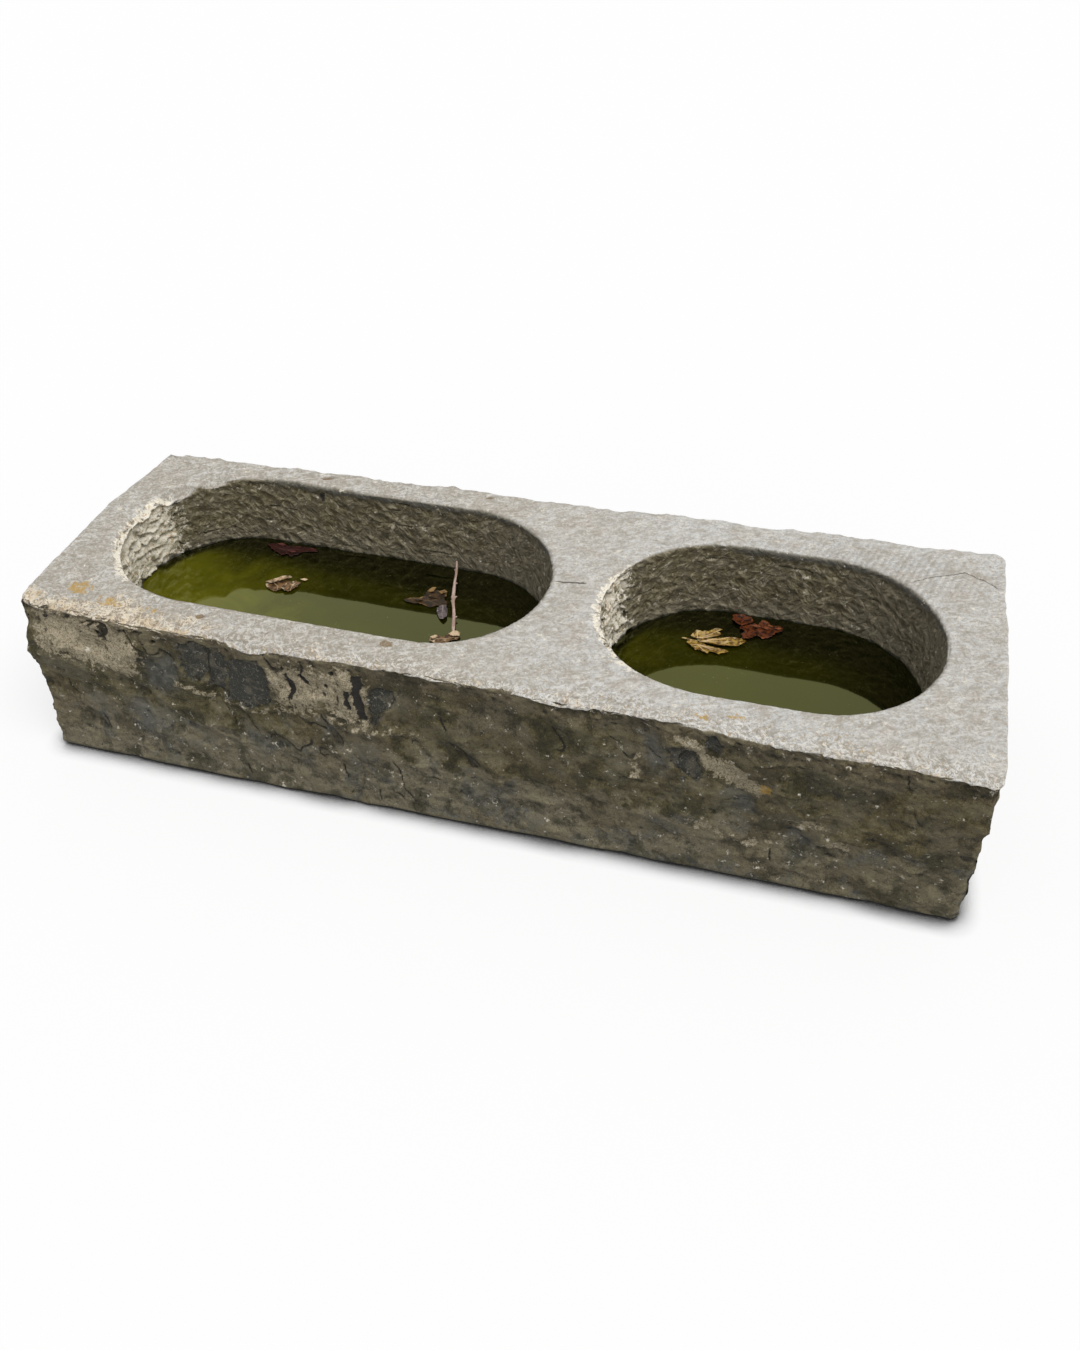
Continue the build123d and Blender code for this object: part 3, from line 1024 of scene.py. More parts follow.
@dataclass(frozen=True)
class WoodFinish:
    """Barkless, sun-bleached wood.

    Attributes:
        name: Its material's name.
        pale: Its lighter colour.
        shade: Its darker colour.
    """

    name: str
    pale: Colour
    shade: Colour

    def make(self) -> bpy.types.Material:
        """Builds the material.

        Returns:
            The wood's material.
        """
        g = material_graph(self.name)
        grain = g.noise(5.0, 4.0, 0.6, place=g.place((1.0, 6.2, 1.0)))
        colour = g.mix(g.ramp(grain, 0.35, 0.68), self.shade, self.pale)
        return g.close(colour, 0.7, g.bump(grain, 0.5, 0.6))


def make_object(name: str, mesh: bpy.types.Mesh, material: bpy.types.Material) -> bpy.types.Object:
    """Puts a mesh in the scene.

    Args:
        name: The object's name.
        mesh: Its mesh.
        material: Its only material.

    Returns:
        The object, shaded smooth.
    """
    mesh.materials.clear()
    mesh.materials.append(material)
    mesh.polygons.foreach_set("use_smooth", np.ones(len(mesh.polygons), bool))
    made = bpy.data.objects.new(name, mesh)
    bpy.context.scene.collection.objects.link(made)
    return made


def set_field(mesh: bpy.types.Mesh, name: str, values: Array) -> None:
    """Gives each vertex of a mesh a value."""
    made = mesh.attributes.new(name, "FLOAT", "POINT")
    made.data.foreach_set("value", np.ascontiguousarray(values, np.float32))


def make_mesh(name: str, places: Array, faces: list[Face], **fields: Array) -> bpy.types.Mesh:
    """Builds a mesh.

    Args:
        name: Its name.
        places: One row of three lengths a vertex, in millimetres.
        faces: The vertices of each face.
        **fields: Values that the vertices carry.

    Returns:
        The mesh, in metres.
    """
    mesh = bpy.data.meshes.new(name)
    mesh.from_pydata((places * MILLIMETRE).tolist(), [], faces)
    mesh.update()
    for key, values in fields.items():
        set_field(mesh, key, values)
    return mesh


def settle(piece: bpy.types.Object, node: str) -> None:
    """Lets a piece ride the trough and stand for its node."""
    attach(piece, "root")
    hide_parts(node)


class Side(Enum):
    """The stone's four outer faces, each by the level direction that it faces."""

    FRONT = (0.0, -1.0)
    BACK = (0.0, 1.0)
    NARROW = (-1.0, 0.0)
    WIDE = (1.0, 0.0)

    @property
    def long(self) -> bool:
        """Whether it is one of the two long faces."""
        return self.value[0] == 0.0


# The values that the stone's mesh carries for its finish.
STONE_FIELDS = (
    "top", "wall", "fine", "broad", "warm", "low", "brown", "tan", "slate", "stain", "dark", "lichen", "cream",
    "dusk", "damp", "crack", "crack_width", "tooled", "front_strip", "cleft", "lip", "crumb", "soil", "foot",
    "far_end",
)


@dataclass
class TroughStone:
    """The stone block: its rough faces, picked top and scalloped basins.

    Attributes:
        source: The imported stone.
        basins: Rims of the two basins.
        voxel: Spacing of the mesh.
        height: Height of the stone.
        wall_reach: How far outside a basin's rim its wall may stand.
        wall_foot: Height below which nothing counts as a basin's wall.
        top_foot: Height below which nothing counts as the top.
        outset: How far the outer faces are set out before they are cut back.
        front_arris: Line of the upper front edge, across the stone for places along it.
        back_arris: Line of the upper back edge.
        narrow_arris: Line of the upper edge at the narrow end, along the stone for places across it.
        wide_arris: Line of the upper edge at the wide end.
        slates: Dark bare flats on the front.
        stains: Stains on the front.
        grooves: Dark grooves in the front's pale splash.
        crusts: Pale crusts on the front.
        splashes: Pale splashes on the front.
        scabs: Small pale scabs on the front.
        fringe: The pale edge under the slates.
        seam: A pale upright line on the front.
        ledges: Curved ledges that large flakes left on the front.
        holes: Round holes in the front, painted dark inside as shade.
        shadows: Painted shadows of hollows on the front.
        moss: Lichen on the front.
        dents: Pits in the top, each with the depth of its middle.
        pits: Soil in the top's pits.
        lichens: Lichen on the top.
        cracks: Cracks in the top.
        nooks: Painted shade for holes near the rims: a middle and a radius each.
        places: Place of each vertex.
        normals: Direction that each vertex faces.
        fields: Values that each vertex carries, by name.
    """

    source: bpy.types.Object
    basins: tuple[Stadium, ...] = (LONG_BASIN, SHORT_BASIN)
    voxel: float = 5.0
    height: float = 355.5
    wall_reach: float = 34.0
    wall_foot: float = 60.0
    top_foot: float = 240.0
    outset: float = 8.0
    front_arris: tuple[Point, ...] = (
        (-899, -285.8), (-807, -293.9), (-717, -301.8), (-636, -296.4), (-554, -296.4), (-474, -293.7),
        (-390, -301.4), (-311, -303.8), (-235, -299.9), (-160, -296.0), (-84, -298.5), (-10, -297.1),
        (62, -295.8), (137, -305.5), (208, -305.4), (276, -300.5), (346, -302.8), (414, -307.4),
        (482, -311.9), (549, -318.7), (613, -318.4), (677, -318.2), (739, -313.5), (802, -317.8),
        (863, -319.9), (893, -324.0),
    )
    back_arris: tuple[Point, ...] = (
        (-866, 269), (-818, 272), (-771, 276), (-722, 275), (-675, 278), (-625, 273), (-580, 280),
        (-531, 276), (-486, 279), (-441, 282), (-393, 277), (-348, 280), (-304, 283), (-259, 286),
        (-217, 293), (-171, 288), (-82, 287), (-38, 286), (4, 289), (46, 292), (89, 291), (133, 287),
        (173, 293), (214, 296), (254, 306), (296, 301), (337, 304), (378, 303), (419, 299), (459, 302),
        (497, 311), (537, 311), (576, 317), (616, 312), (655, 312), (693, 311), (732, 307), (770, 313),
        (807, 319), (845, 318), (883, 317),
    )
    narrow_arris: tuple[Point, ...] = (
        (-279, -908.7), (-250, -908.7), (-126, -908.7), (5, -907.8), (51, -907.0), (149, -894.9), (200, -887.1),
        (253, -879.2), (265, -875.6),
    )
    wide_arris: tuple[Point, ...] = (
        (-324, 900), (-268, 906), (-186, 906), (-84, 907), (53, 908.5), (170, 903), (324, 901),
    )
    slates: tuple[Patch, ...] = (
        Patch((
            (-570, 316), (-547, 328), (-512, 328), (-511, 301), (-523, 256), (-543, 237), (-571, 246), (-575, 278),
        )),
        Patch(((-513, 323), (-492, 323), (-479, 307), (-489, 235), (-492, 217), (-523, 220), (-526, 251))),
        Patch((
            (-480, 298), (-439, 315), (-406, 320), (-394, 290), (-390, 220), (-398, 211), (-446, 205), (-492, 205),
        )),
        Patch((
            (-190, 289), (-168, 298), (-146, 287), (-144, 271), (-163, 244), (-184, 206), (-198, 207), (-192, 256),
        )),
        Patch(((357, 288), (385, 300), (410, 287), (428, 249), (418, 227), (390, 229), (367, 252))),
        Patch(((424, 337), (444, 337), (460, 309), (448, 287), (430, 297))),
    )
    stains: tuple[Patch, ...] = (
        Patch((
            (-649, 268), (-627, 282), (-599, 283), (-581, 258), (-583, 229), (-600, 206), (-633, 192), (-657, 204),
            (-661, 232),
        )),
        Patch(((-715, 157), (-689, 167), (-661, 143), (-658, 103), (-679, 80), (-704, 108), (-721, 130))),
        Patch(((316, 315), (341, 317), (358, 302), (367, 252), (354, 230), (333, 234), (321, 272))),
        Patch(((463, 229), (502, 215), (524, 206), (520, 170), (492, 172), (469, 196))),
        Patch(((581, 151), (605, 153), (628, 134), (624, 107), (600, 110), (584, 126))),
        Patch(((-293, 201), (-274, 210), (-275, 166), (-296, 156))),
    )
    grooves: tuple[Patch, ...] = (
        Patch((
            (-360, 300), (-352, 306), (-347, 286), (-341, 262), (-346, 236), (-356, 230), (-353, 258), (-361, 277),
        )),
        Patch(((-326, 301), (-317, 299), (-309, 287), (-311, 280), (-319, 283), (-327, 293))),
        Patch(((-235, 289), (-226, 288), (-231, 236), (-239, 234))),
        Patch(((-221, 317), (-207, 317), (-204, 272), (-202, 211), (-216, 208), (-221, 254))),
    )
    crusts: tuple[Patch, ...] = (
        Patch((
            (-877, 354), (-807, 346), (-721, 351), (-678, 355), (-670, 315), (-656, 283), (-670, 240), (-709, 222),
            (-751, 228), (-816, 234), (-879, 245), (-888, 291),
        )),
        Patch((
            (-396, 306), (-368, 320), (-317, 326), (-259, 320), (-217, 320), (-192, 298), (-200, 202), (-252, 210),
            (-284, 241), (-332, 216), (-365, 209), (-381, 224), (-391, 255),
        )),
    )
    splashes: tuple[Patch, ...] = (
        Patch((
            (377, 323), (401, 324), (418, 317), (431, 287), (458, 285), (486, 278), (511, 261), (530, 246),
            (529, 222), (508, 219), (487, 230), (462, 238), (437, 246), (419, 265), (403, 292), (382, 306),
        )),
    )
    fringe: Stroke = Stroke(
        ((-579, 225), (-541, 206), (-500, 199), (-447, 199), (-393, 202), (-362, 200), (-321, 216), (-284, 218),
         (-254, 186), (-179, 198), (-129, 203), (-95, 190)), 6.0
    )
    seam: Stroke = Stroke(((305, 262), (303, 210)), 6.0)
    scabs: tuple[Spot, ...] = (
        Spot((620, 164), (26, 12)), Spot((536, 105), (22, 11)), Spot((672, 132), (24, 12)),
        Spot((448, 118), (30, 9), -12.0),
    )
    ledges: tuple[Stroke, ...] = (
        Stroke(((-112, 170), (-92, 150), (-86, 118), (-92, 88), (-106, 63)), 4.0),
        Stroke(((-32, 182), (-10, 158), (-4, 128), (-19, 92)), 4.0),
        Stroke(((-262, 150), (-240, 112), (-234, 70), (-246, 36)), 4.0),
        Stroke(((470, 150), (520, 128), (575, 126), (640, 100)), 4.0),
    )
    holes: tuple[Spot, ...] = (
        Spot((-742, 307), (6, 6)), Spot((-621, 318), (5, 5)), Spot((-258, 321), (6, 4)), Spot((-274, 288), (4, 4)),
    )
    shadows: tuple[Spot, ...] = (
        Spot((-517, 255), (8, 27)), Spot((-858, 318), (5, 15)), Spot((-861, 280), (7, 10)),
        Spot((398, 268), (14, 10)),
    )
    moss: tuple[Spot, ...] = (Spot((535, 240), (13, 12)),)
    dents: tuple[tuple[Spot, float], ...] = (
        (Spot((-493, 252), (13, 7), 20.0), 7.0), (Spot((-133, 266), (10, 6), 20.0), 5.0),
        (Spot((-541, -242), (10, 6), 20.0), 5.0), (Spot((-836, 209), (12, 20), 20.0), 2.0),
        (Spot((-820, 236), (9, 12), 20.0), 2.0),
    )
    pits: tuple[Spot, ...] = (
        Spot((-493, 252), (13, 7), 20.0), Spot((-133, 266), (9, 6)), Spot((-175, -232), (13, 10)),
        Spot((-541, -242), (8, 5)),
    )
    lichens: tuple[Spot, ...] = (
        Spot((-809, -221), (24, 17), -10.0), Spot((-735, -244), (22, 9), -8.0), Spot((-640, -248), (18, 6)),
        Spot((417, -274), (10, 6)), Spot((683, -291), (8, 5)), Spot((470, -262), (11, 5)),
    )
    cracks: tuple[Stroke, ...] = (
        Stroke(((70, 23), (95, 22), (118, 27), (138, 28)), 2.2),
        Stroke(((724, 179), (765, 207), (826, 237), (866, 220), (896, 194)), 1.1),
    )
    nooks: tuple[tuple[Place, float], ...] = (
        ((-792, 66, 344), 13.0), ((-789, 100, 331), 9.0), ((-496, 213, 328), 7.5),
    )
    places: Array = field(init=False)
    normals: Array = field(init=False)
    fields: dict[str, Array] = field(init=False, default_factory=dict)

    def shell(self) -> bpy.types.Mesh:
        """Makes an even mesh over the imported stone.

        Returns:
            The mesh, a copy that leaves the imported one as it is.
        """
        copy = self.source.copy()
        copy.data = self.source.data.copy()
        copy.parent = None
        bpy.context.scene.collection.objects.link(copy)
        weld = copy.modifiers.new("weld", "WELD")
        weld.merge_threshold = 0.00002
        remesh = copy.modifiers.new("even", "REMESH")
        remesh.mode = "VOXEL"
        remesh.voxel_size = self.voxel * MILLIMETRE
        remesh.adaptivity = 0.0
        graph = bpy.context.evaluated_depsgraph_get()
        mesh = bpy.data.meshes.new_from_object(copy.evaluated_get(graph), depsgraph=graph)
        bpy.data.objects.remove(copy)
        mesh.name = "trough_stone"
        self.refine(mesh)
        return mesh

    def refine(self, mesh: bpy.types.Mesh) -> None:
        """Halves the spacing on the top, the front and the basins' walls above the water.

        Args:
            mesh: The even mesh.
        """
        work = bmesh.new()
        work.from_mesh(mesh)
        lowest_water = min(basin.water for basin in self.basins) * MILLIMETRE
        chosen = set()
        for face in work.faces:
            middle, normal = face.calc_center_median(), face.normal
            above = normal.z > 0.3 and middle.z > lowest_water
            ahead = normal.y < -0.4 and middle.y < -0.24
            within = middle.z > lowest_water - 0.012 and abs(normal.z) < 0.6 and abs(middle.y) < 0.235
            if above or ahead or within:
                chosen.update(face.edges)
        bmesh.ops.subdivide_edges(work, edges=list(chosen), cuts=1, use_grid_fill=True)
        work.to_mesh(mesh)
        work.free()
        mesh.update()

    def read(self, mesh: bpy.types.Mesh) -> None:
        """Takes the places and normals off a mesh, in millimetres."""
        count = len(mesh.vertices)
        flat = np.empty(count * 3, np.float32)
        mesh.vertices.foreach_get("co", flat)
        self.places = flat.reshape(count, 3).astype(float) / MILLIMETRE
        flat = np.empty(count * 3, np.float32)
        mesh.vertex_normals.foreach_get("vector", flat)
        self.normals = flat.reshape(count, 3).astype(float)

    def zone(self) -> None:
        """Weighs how far each vertex belongs to the top, a basin's wall, the floor or an outer face."""
        x, y, z = self.places.T
        level = self.normals[:, 2]
        gap = np.minimum(*(basin.gap(x, y) for basin in self.basins))
        upright = 1.0 - ease(0.45, 0.85, np.abs(level))
        within = (gap < self.wall_reach) & (z > self.wall_foot)
        f = self.fields
        for name in STONE_FIELDS:
            f[name] = np.zeros(len(x))
        f["top"] = ease(0.25, 0.7, level) * (z > self.top_foot)
        f["wall"] = np.where(within, 1.0 - f["top"], 0.0)
        f["upright"] = upright
        f["outer"] = np.where(within, 0.0, upright)

    def split(self, side: Side) -> tuple[Array, Array]:
        """Gives each vertex's place along a face, and how far out it is."""
        x, y, _ = self.places.T
        return (x, y * side.value[1]) if side.long else (y, x * side.value[0])

    def edge_of(self, side: Side, foot: bool = False) -> Array:
        """Finds how far out a face's upper edge is, or its foot.

        Args:
            side: Which face.
            foot: Whether to follow its foot.

        Returns:
            The edge's distance from the middle, at each vertex.
        """
        deep, pace, window = 12.0, 12.0, 14.0
        along, out = self.split(side)
        height = self.places[:, 2]
        counted = height < deep if foot else height > self.height - deep
        line, reach = along[counted], out[counted]
        steps = np.arange(line.min(), line.max() + pace, pace)
        order = np.argsort(line)
        line, reach = line[order], reach[order]
        first, last = np.searchsorted(line, steps - window), np.searchsorted(line, steps + window)
        found = np.array([reach[a:b].max() if b > a else reach.max() for a, b in zip(first, last)])
        return np.interp(along, steps, even_out(found, 2))

    def pull_arrises(self) -> None:
        """Moves the upper edges to their measured lines, fading downwards and inwards."""
        lines = {
            Side.FRONT: self.front_arris, Side.BACK: self.back_arris,
            Side.NARROW: self.narrow_arris, Side.WIDE: self.wide_arris,
        }
        for side, line in lines.items():
            along, out = self.split(side)
            edge = self.edge_of(side)
            axis = int(side.long)
            sign = side.value[axis]
            wanted = sign * np.interp(along, [p[0] for p in line], [p[1] for p in line])
            shift = np.clip(wanted - edge, -12.0, 14.0)
            shift *= ease(75.0, 0.0, edge - out) * ease(90.0, 290.0, self.places[:, 2])
            self.places[:, axis] += sign * shift

    def blunt_corners(self) -> None:
        """Trims the top ends of the upright arrises, where the flakes of two faces meet in a horn."""
        fade = ease(self.height - 90.0, self.height - 40.0, self.places[:, 2])
        moves = np.zeros((len(self.places), 2))
        for end in (Side.NARROW, Side.WIDE):
            for face in (Side.FRONT, Side.BACK):
                room = self.edge_of(end) - self.split(end)[1] + self.edge_of(face) - self.split(face)[1]
                trim = 0.5 * np.clip(13.0 - room, 0.0, 22.0) * fade
                moves -= np.outer(trim, (end.value[0], face.value[1]))
        self.places[:, :2] += moves

    def straighten_foot(self) -> None:
        """Fills most of what the flakes left along the foot of the long faces."""
        for side in (Side.FRONT, Side.BACK):
            along, out = self.split(side)
            edge = self.edge_of(side, True)
            steps = np.linspace(along.min(), along.max(), 60)
            line = np.array([edge[np.abs(along - step) < 16.0].max() for step in steps])
            line = np.array([line[max(0, i - 4):i + 5].max() for i in range(len(line))])
            shift = 0.75 * np.clip(np.interp(along, steps, even_out(line, 3)) - edge, 0.0, 9.0)
            shift *= ease(60.0, 5.0, edge - out) * ease(75.0, 15.0, self.places[:, 2])
            self.places[:, 1] += side.value[1] * shift

    def lift_chips(self) -> None:
        """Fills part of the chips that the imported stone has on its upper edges."""
        radius, beyond, deepest = 95.0, 60.8, 14.0
        x, y, z = self.places.T
        for middle, sign in ((-810, -1), (-421, -1), (32, -1), (593, -1), (581, 1), (243, 1), (-361, 1)):
            edge = 279.6 + 0.0249 * (middle + 909.5) if sign < 0 else 266.0 + 0.0329 * (middle + 876.3)
            out = np.maximum(edge + beyond - y * sign, beyond)
            depth = radius**2 - (x - middle) ** 2 - out**2
            depth = np.clip(np.sqrt(np.maximum(depth, 0.0)) - beyond, 0.0, deepest)
            self.places[:, 2] += 0.65 * depth * ease(self.height - 80.0, self.height - 16.0, z)

    def side_cut(self, side: Side, picked: Array) -> Array:
        """Cuts one outer face: flakes of four sizes, a crumbled lip, clefts and bedding lines.

        Args:
            side: Which face.
            picked: The vertices that the face has.

        Returns:
            The depth at each of them.
        """
        f = self.fields
        x, y, z = self.places[picked].T
        u = x if side.long else y + 2000.0
        seed = 10 * list(Side).index(side)
        rough = Grain(seed + 5)
        bend = 18.0 * rough.fractal(u, z, size=80.0)
        lift = 14.0 * rough.fractal(u + 400.0, z, size=70.0)
        cut = Scoops((90.0, 64.0), 7.0, 0.95, 0.2, 0.2, 0.8, seed + 1).carve(u + bend, z + lift)
        cut += Scoops((46.0, 34.0), 7.0, 0.9, -0.25, 0.3, 0.9, seed + 2).carve(u + bend, z + lift)
        few = ease(-0.35, 0.3, rough.smooth(u / 60.0 + 7.0, z / 45.0))
        small = Scoops((23.0, 15.0), 3.4, 0.9, 0.3, 0.3, 0.7, seed + 3)
        cut += (0.3 + 0.7 * few) * small.carve(u + 0.7 * bend, z + 0.7 * lift)
        lip = ease(self.height - 58.0, self.height - 26.0, z + 10.0 * rough.smooth(u / 40.0))
        cut += (0.35 + lip) * Scoops((13.0, 9.0), 2.8, 0.9, 0.4, 0.2, 0.6, seed + 4).carve(u + 0.5 * bend, z)
        if not side.long:
            cut = 0.8 * cut + 1.6
        cut += 2.5 * rough.fractal(u, z, size=240.0, octaves=2) + 1.5 * rough.fractal(u, z, size=12.0)
        slant = z + 0.24 * u + 7.0 * rough.smooth(u / 80.0, z / 60.0)
        bedding = ease(380.0, 720.0, u) * ease(930.0, 780.0, u) * rough.fractal(0.09 * u, slant, size=13.0)
        gap = np.abs(rough.fractal(u + 0.4 * z + 60.0, 0.45 * z + 0.2 * lift, size=84.0))
        cleft = ease(0.034, 0.006, gap) * ease(0.15, 0.5, rough.smooth(u / 60.0 + 3.0, z / 40.0))
        f["cleft"][picked] = np.maximum(f["cleft"][picked], cleft)
        f["lip"][picked] = np.maximum(f["lip"][picked], lip)
        return cut + 2.2 * bedding + 3.5 * cleft

    def wander(self, picked: Array) -> tuple[Array, Array]:
        """Shifts places on the front unevenly, so that what is drawn there has a torn outline.

        Args:
            picked: The vertices.

        Returns:
            Their places along the front and up it.
        """
        x, _, z = self.places[picked].T
        rough = Grain(61)
        return (
            x + 11.0 * rough.fractal(x, z, size=38.0, octaves=4, gain=0.6),
            z + 9.0 * rough.fractal(x + 500.0, z, size=34.0, octaves=4, gain=0.6),
        )

    def front_marks(self, picked: Array) -> Array:
        """Cuts the marks that only the front has: flats, grooves, holes and the ledge.

        Args:
            picked: The front's vertices.

        Returns:
            The depth at each of them.
        """
        u, v = self.wander(picked)
        cut = np.zeros(len(u))
        for depth, soft, patches in (
            (6.0, 8.0, self.slates), (3.0, 14.0, self.stains), (5.0, 5.0, self.grooves), (7.0, 4.0, self.holes),
        ):
            for patch in patches:
                cut += depth * ease(0.25, 0.75, patch.cover(u, v, soft))
        cut -= 2.0 * ease(0.2, 0.8, self.fringe.cover(u, v, 7.0))
        ridges = Grain(62).fractal(u, 0.22 * v, size=15.0)
        cut += 4.5 * self.crusts[1].cover(u, v, 8.0) * ridges
        for ledge in self.ledges:
            gap, _ = ledge.measure(u, v)
            cut += 4.0 * np.exp(-np.abs(gap + 14.0) / 14.0) * (gap < ledge.width) * (np.abs(gap) < 60.0)
        return cut

    def carve_outer(self) -> None:
        """Breaks the outer faces, each along its own direction, and the arrises with them."""
        moves = np.zeros((len(self.places), 2))
        for side in Side:
            facing = self.normals[:, 0] * side.value[0] + self.normals[:, 1] * side.value[1]
            weight = ease(0.15, 0.75, facing) * self.fields["outer"]
            picked = np.nonzero(weight > 0.0)[0]
            cut = self.side_cut(side, picked)
            if side is Side.FRONT:
                cut = cut + self.front_marks(picked)
            room = self.split(side)[1]
            outset = np.minimum(self.outset, (room.max() - room)[picked])
            cut = (cut - outset) * (0.15 + 0.85 * ease(-4.0, 42.0, self.places[picked, 2]))
            moves[picked] -= np.outer(weight[picked] * cut, side.value)
        self.places[:, :2] += moves

    def bend_share(self, basin: Stadium, travel: Array) -> Array:
        """Weighs how far places round a rim belong to the broken bend at its narrow end.

        Args:
            basin: The basin.
            travel: How far round its rim each place is.

        Returns:
            The weight, from 0 to 1.
        """
        end = basin.straight + math.pi * basin.radius
        start = ease(-basin.straight - 0.88 * basin.radius, -basin.straight - 1.30 * basin.radius, travel)
        return start * ease(-end + 60.0, -end + 200.0, travel)

    def carve_walls(self) -> None:
        """Cuts the pick marks into the basins' walls, and breaks the narrow ends' bends."""
        f = self.fields
        wall = f["wall"] * f["upright"]
        for index, basin in enumerate(self.basins):
            gaps = basin.gap(self.places[:, 0], self.places[:, 1])
            picked = np.nonzero((gaps < self.wall_reach) & (wall > 0.0))[0]
            x, y, z = self.places[picked].T
            mine = wall[picked]
            s = basin.travel(x, y)
            rough = Grain(71 + index)
            bend = 6.0 * rough.fractal(s, z, size=40.0, octaves=2)
            right = ease(basin.straight - 60.0, basin.straight + 140.0, s)
            if index == 0:
                scales = Scoops((22.0, 18.0), 4.6, 0.92, 0.8, 0.5, 0.45, 31)
                dabs = Scoops((13.0, 24.0), 3.6, 0.95, 0.2, 0.3, 0.35, 41)
                marks = scales.carve(s + bend, z + 0.3 * bend, basin.around) * (1.0 - right)
                marks += dabs.carve(s, z + bend, basin.around) * right
            else:
                scales = Scoops((24.0, 16.0), 4.4, 0.95, 0.8, 0.5, 0.35, 51)
                marks = scales.carve(s + bend, z + 0.3 * bend, basin.around)
            left = self.bend_share(basin, s)
            smooth_band = ease(0.0, 14.0, self.height - 9.0 - z + 4.0 * rough.smooth(s / 30.0))
            knobs = sum(
                Scoops(cell, depth, 0.95, 0.3, 0.3, 0.8, seed + index).carve(s + bend, z + bend, basin.around)
                for cell, depth, seed in (((23.0, 19.0), 10.0, 61), ((11.0, 9.0), 3.6, 63))
            )
            steps = (z + 34.0 * rough.fractal(s, z, size=30.0)) / 28.0
            lumps = 13.0 * (steps - np.floor(steps)) + 6.5 - 0.5 * knobs
            lumps += basin.cream * 7.0 * ease(basin.water + 80.0, self.height, z)
            cut = marks * (1.0 - left) * smooth_band + lumps * left
            cut += 1.6 * rough.fractal(s, z, size=80.0) + 0.9 * rough.fractal(s, z, size=10.0, octaves=2)
            cut += 2.5 * left * rough.fractal(s, z, size=24.0)
            out_x, out_y = basin.away(x, y)
            self.places[picked, 0] += mine * (cut - 2.2) * out_x
            self.places[picked, 1] += mine * (cut - 2.2) * out_y
            broken = left * (basin.cream + 0.3 * rough.fractal(s, z, size=36.0))
            f["cream"][picked] = mine * broken
            f["dusk"][picked] = mine * (1.0 - smooth_band) * ease(-basin.straight - 120.0, -basin.straight + 60.0, s)
            f["foot"][picked] = mine * ease(basin.water + 62.0, basin.water + 12.0, z + 12.0 * rough.smooth(s / 50.0))
            f["far_end"][picked] = mine * ease(basin.straight - 30.0, basin.straight + 130.0, s)
            line = basin.water + 5.0 + 3.0 * rough.fractal(s, size=18.0, octaves=2)
            f["damp"][picked] = mine * ease(line, line - 4.0, z)

    def carve_top(self) -> None:
        """Wears and picks the top, downwards only."""
        f = self.fields
        picked = np.nonzero(f["top"] > 0.0)[0]
        front = -self.edge_of(Side.FRONT)[picked]
        x, y, _ = self.places[picked].T
        rough = Grain(91)
        rugged = ease(64.0 + 26.0 * rough.smooth(x / 70.0), 4.0, y - front)
        bend = 7.0 * rough.fractal(x, y, size=40.0, octaves=2)
        cut = 1.1 * rough.fractal(x, y, size=170.0) - 1.0
        cut += (0.8 + 1.6 * rugged) * Scoops((17.0, 10.0), 2.2, 0.95, 0.35, 0.2, 0.6, 92).carve(x + bend, y + bend)
        cut += (0.35 + rugged) * Scoops((44.0, 28.0), 3.2, 0.85, 0.2, 0.2, 0.6, 93).carve(x + bend, y + bend)
        cut += (0.5 + 1.2 * rugged) * (0.6 + rough.fractal(x, y, size=15.0))
        for dent, depth in self.dents:
            cut += depth * ease(0.2, 0.9, dent.cover(x, y, 5.0))
        for basin in self.basins:
            gap = basin.gap(x, y) + 7.0 * rough.fractal(x, y, size=26.0)
            cut += 9.0 * basin.cream * self.bend_share(basin, basin.travel(x, y)) * ease(24.0, 6.0, gap)
        crust = self.lumpy_end(rough, x, y) * rugged**0.4
        cut += 1.6 * crust * Scoops((21.0, 15.0), 3.6, 0.95, 0.2, 0.4, 0.8, 94).carve(x + bend, y + bend)
        self.places[picked, 2] -= f["top"][picked] * np.maximum(cut, 0.0)
        f["front_strip"][picked] = rugged

    def lumpy_end(self, rough: Grain, x: Array, y: Array) -> Array:
        """Weighs how far places on the top belong to the narrow end, where the front strip is lumpy."""
        return ease(-370.0, -560.0, x + 60.0 * rough.smooth(x / 90.0, y / 40.0))

    def chip_arrises(self) -> None:
        """Knocks small chips off the upper front and back edges."""
        for side, seed in ((Side.FRONT, 95), (Side.BACK, 97)):
            sign = side.value[1]
            reach = self.edge_of(side) - self.places[:, 1] * sign
            edge = ease(16.0, 0.0, reach) * ease(self.height - 24.0, self.height - 4.0, self.places[:, 2])
            picked = np.nonzero(edge > 0.0)[0]
            x, _, z = self.places[picked].T
            up = z - self.height + 15.0
            chips = Scoops((38.0, 30.0), 9.0, 0.7, 0.0, 0.0, 0.4, seed).carve(x, up)
            chips += Scoops((14.0, 30.0), 3.5, 0.9, 0.0, 0.0, 0.4, seed + 1).carve(x, up)
            self.places[picked, 1] -= sign * 0.3 * chips * edge[picked]
            self.places[picked, 2] -= 0.3 * chips * edge[picked]

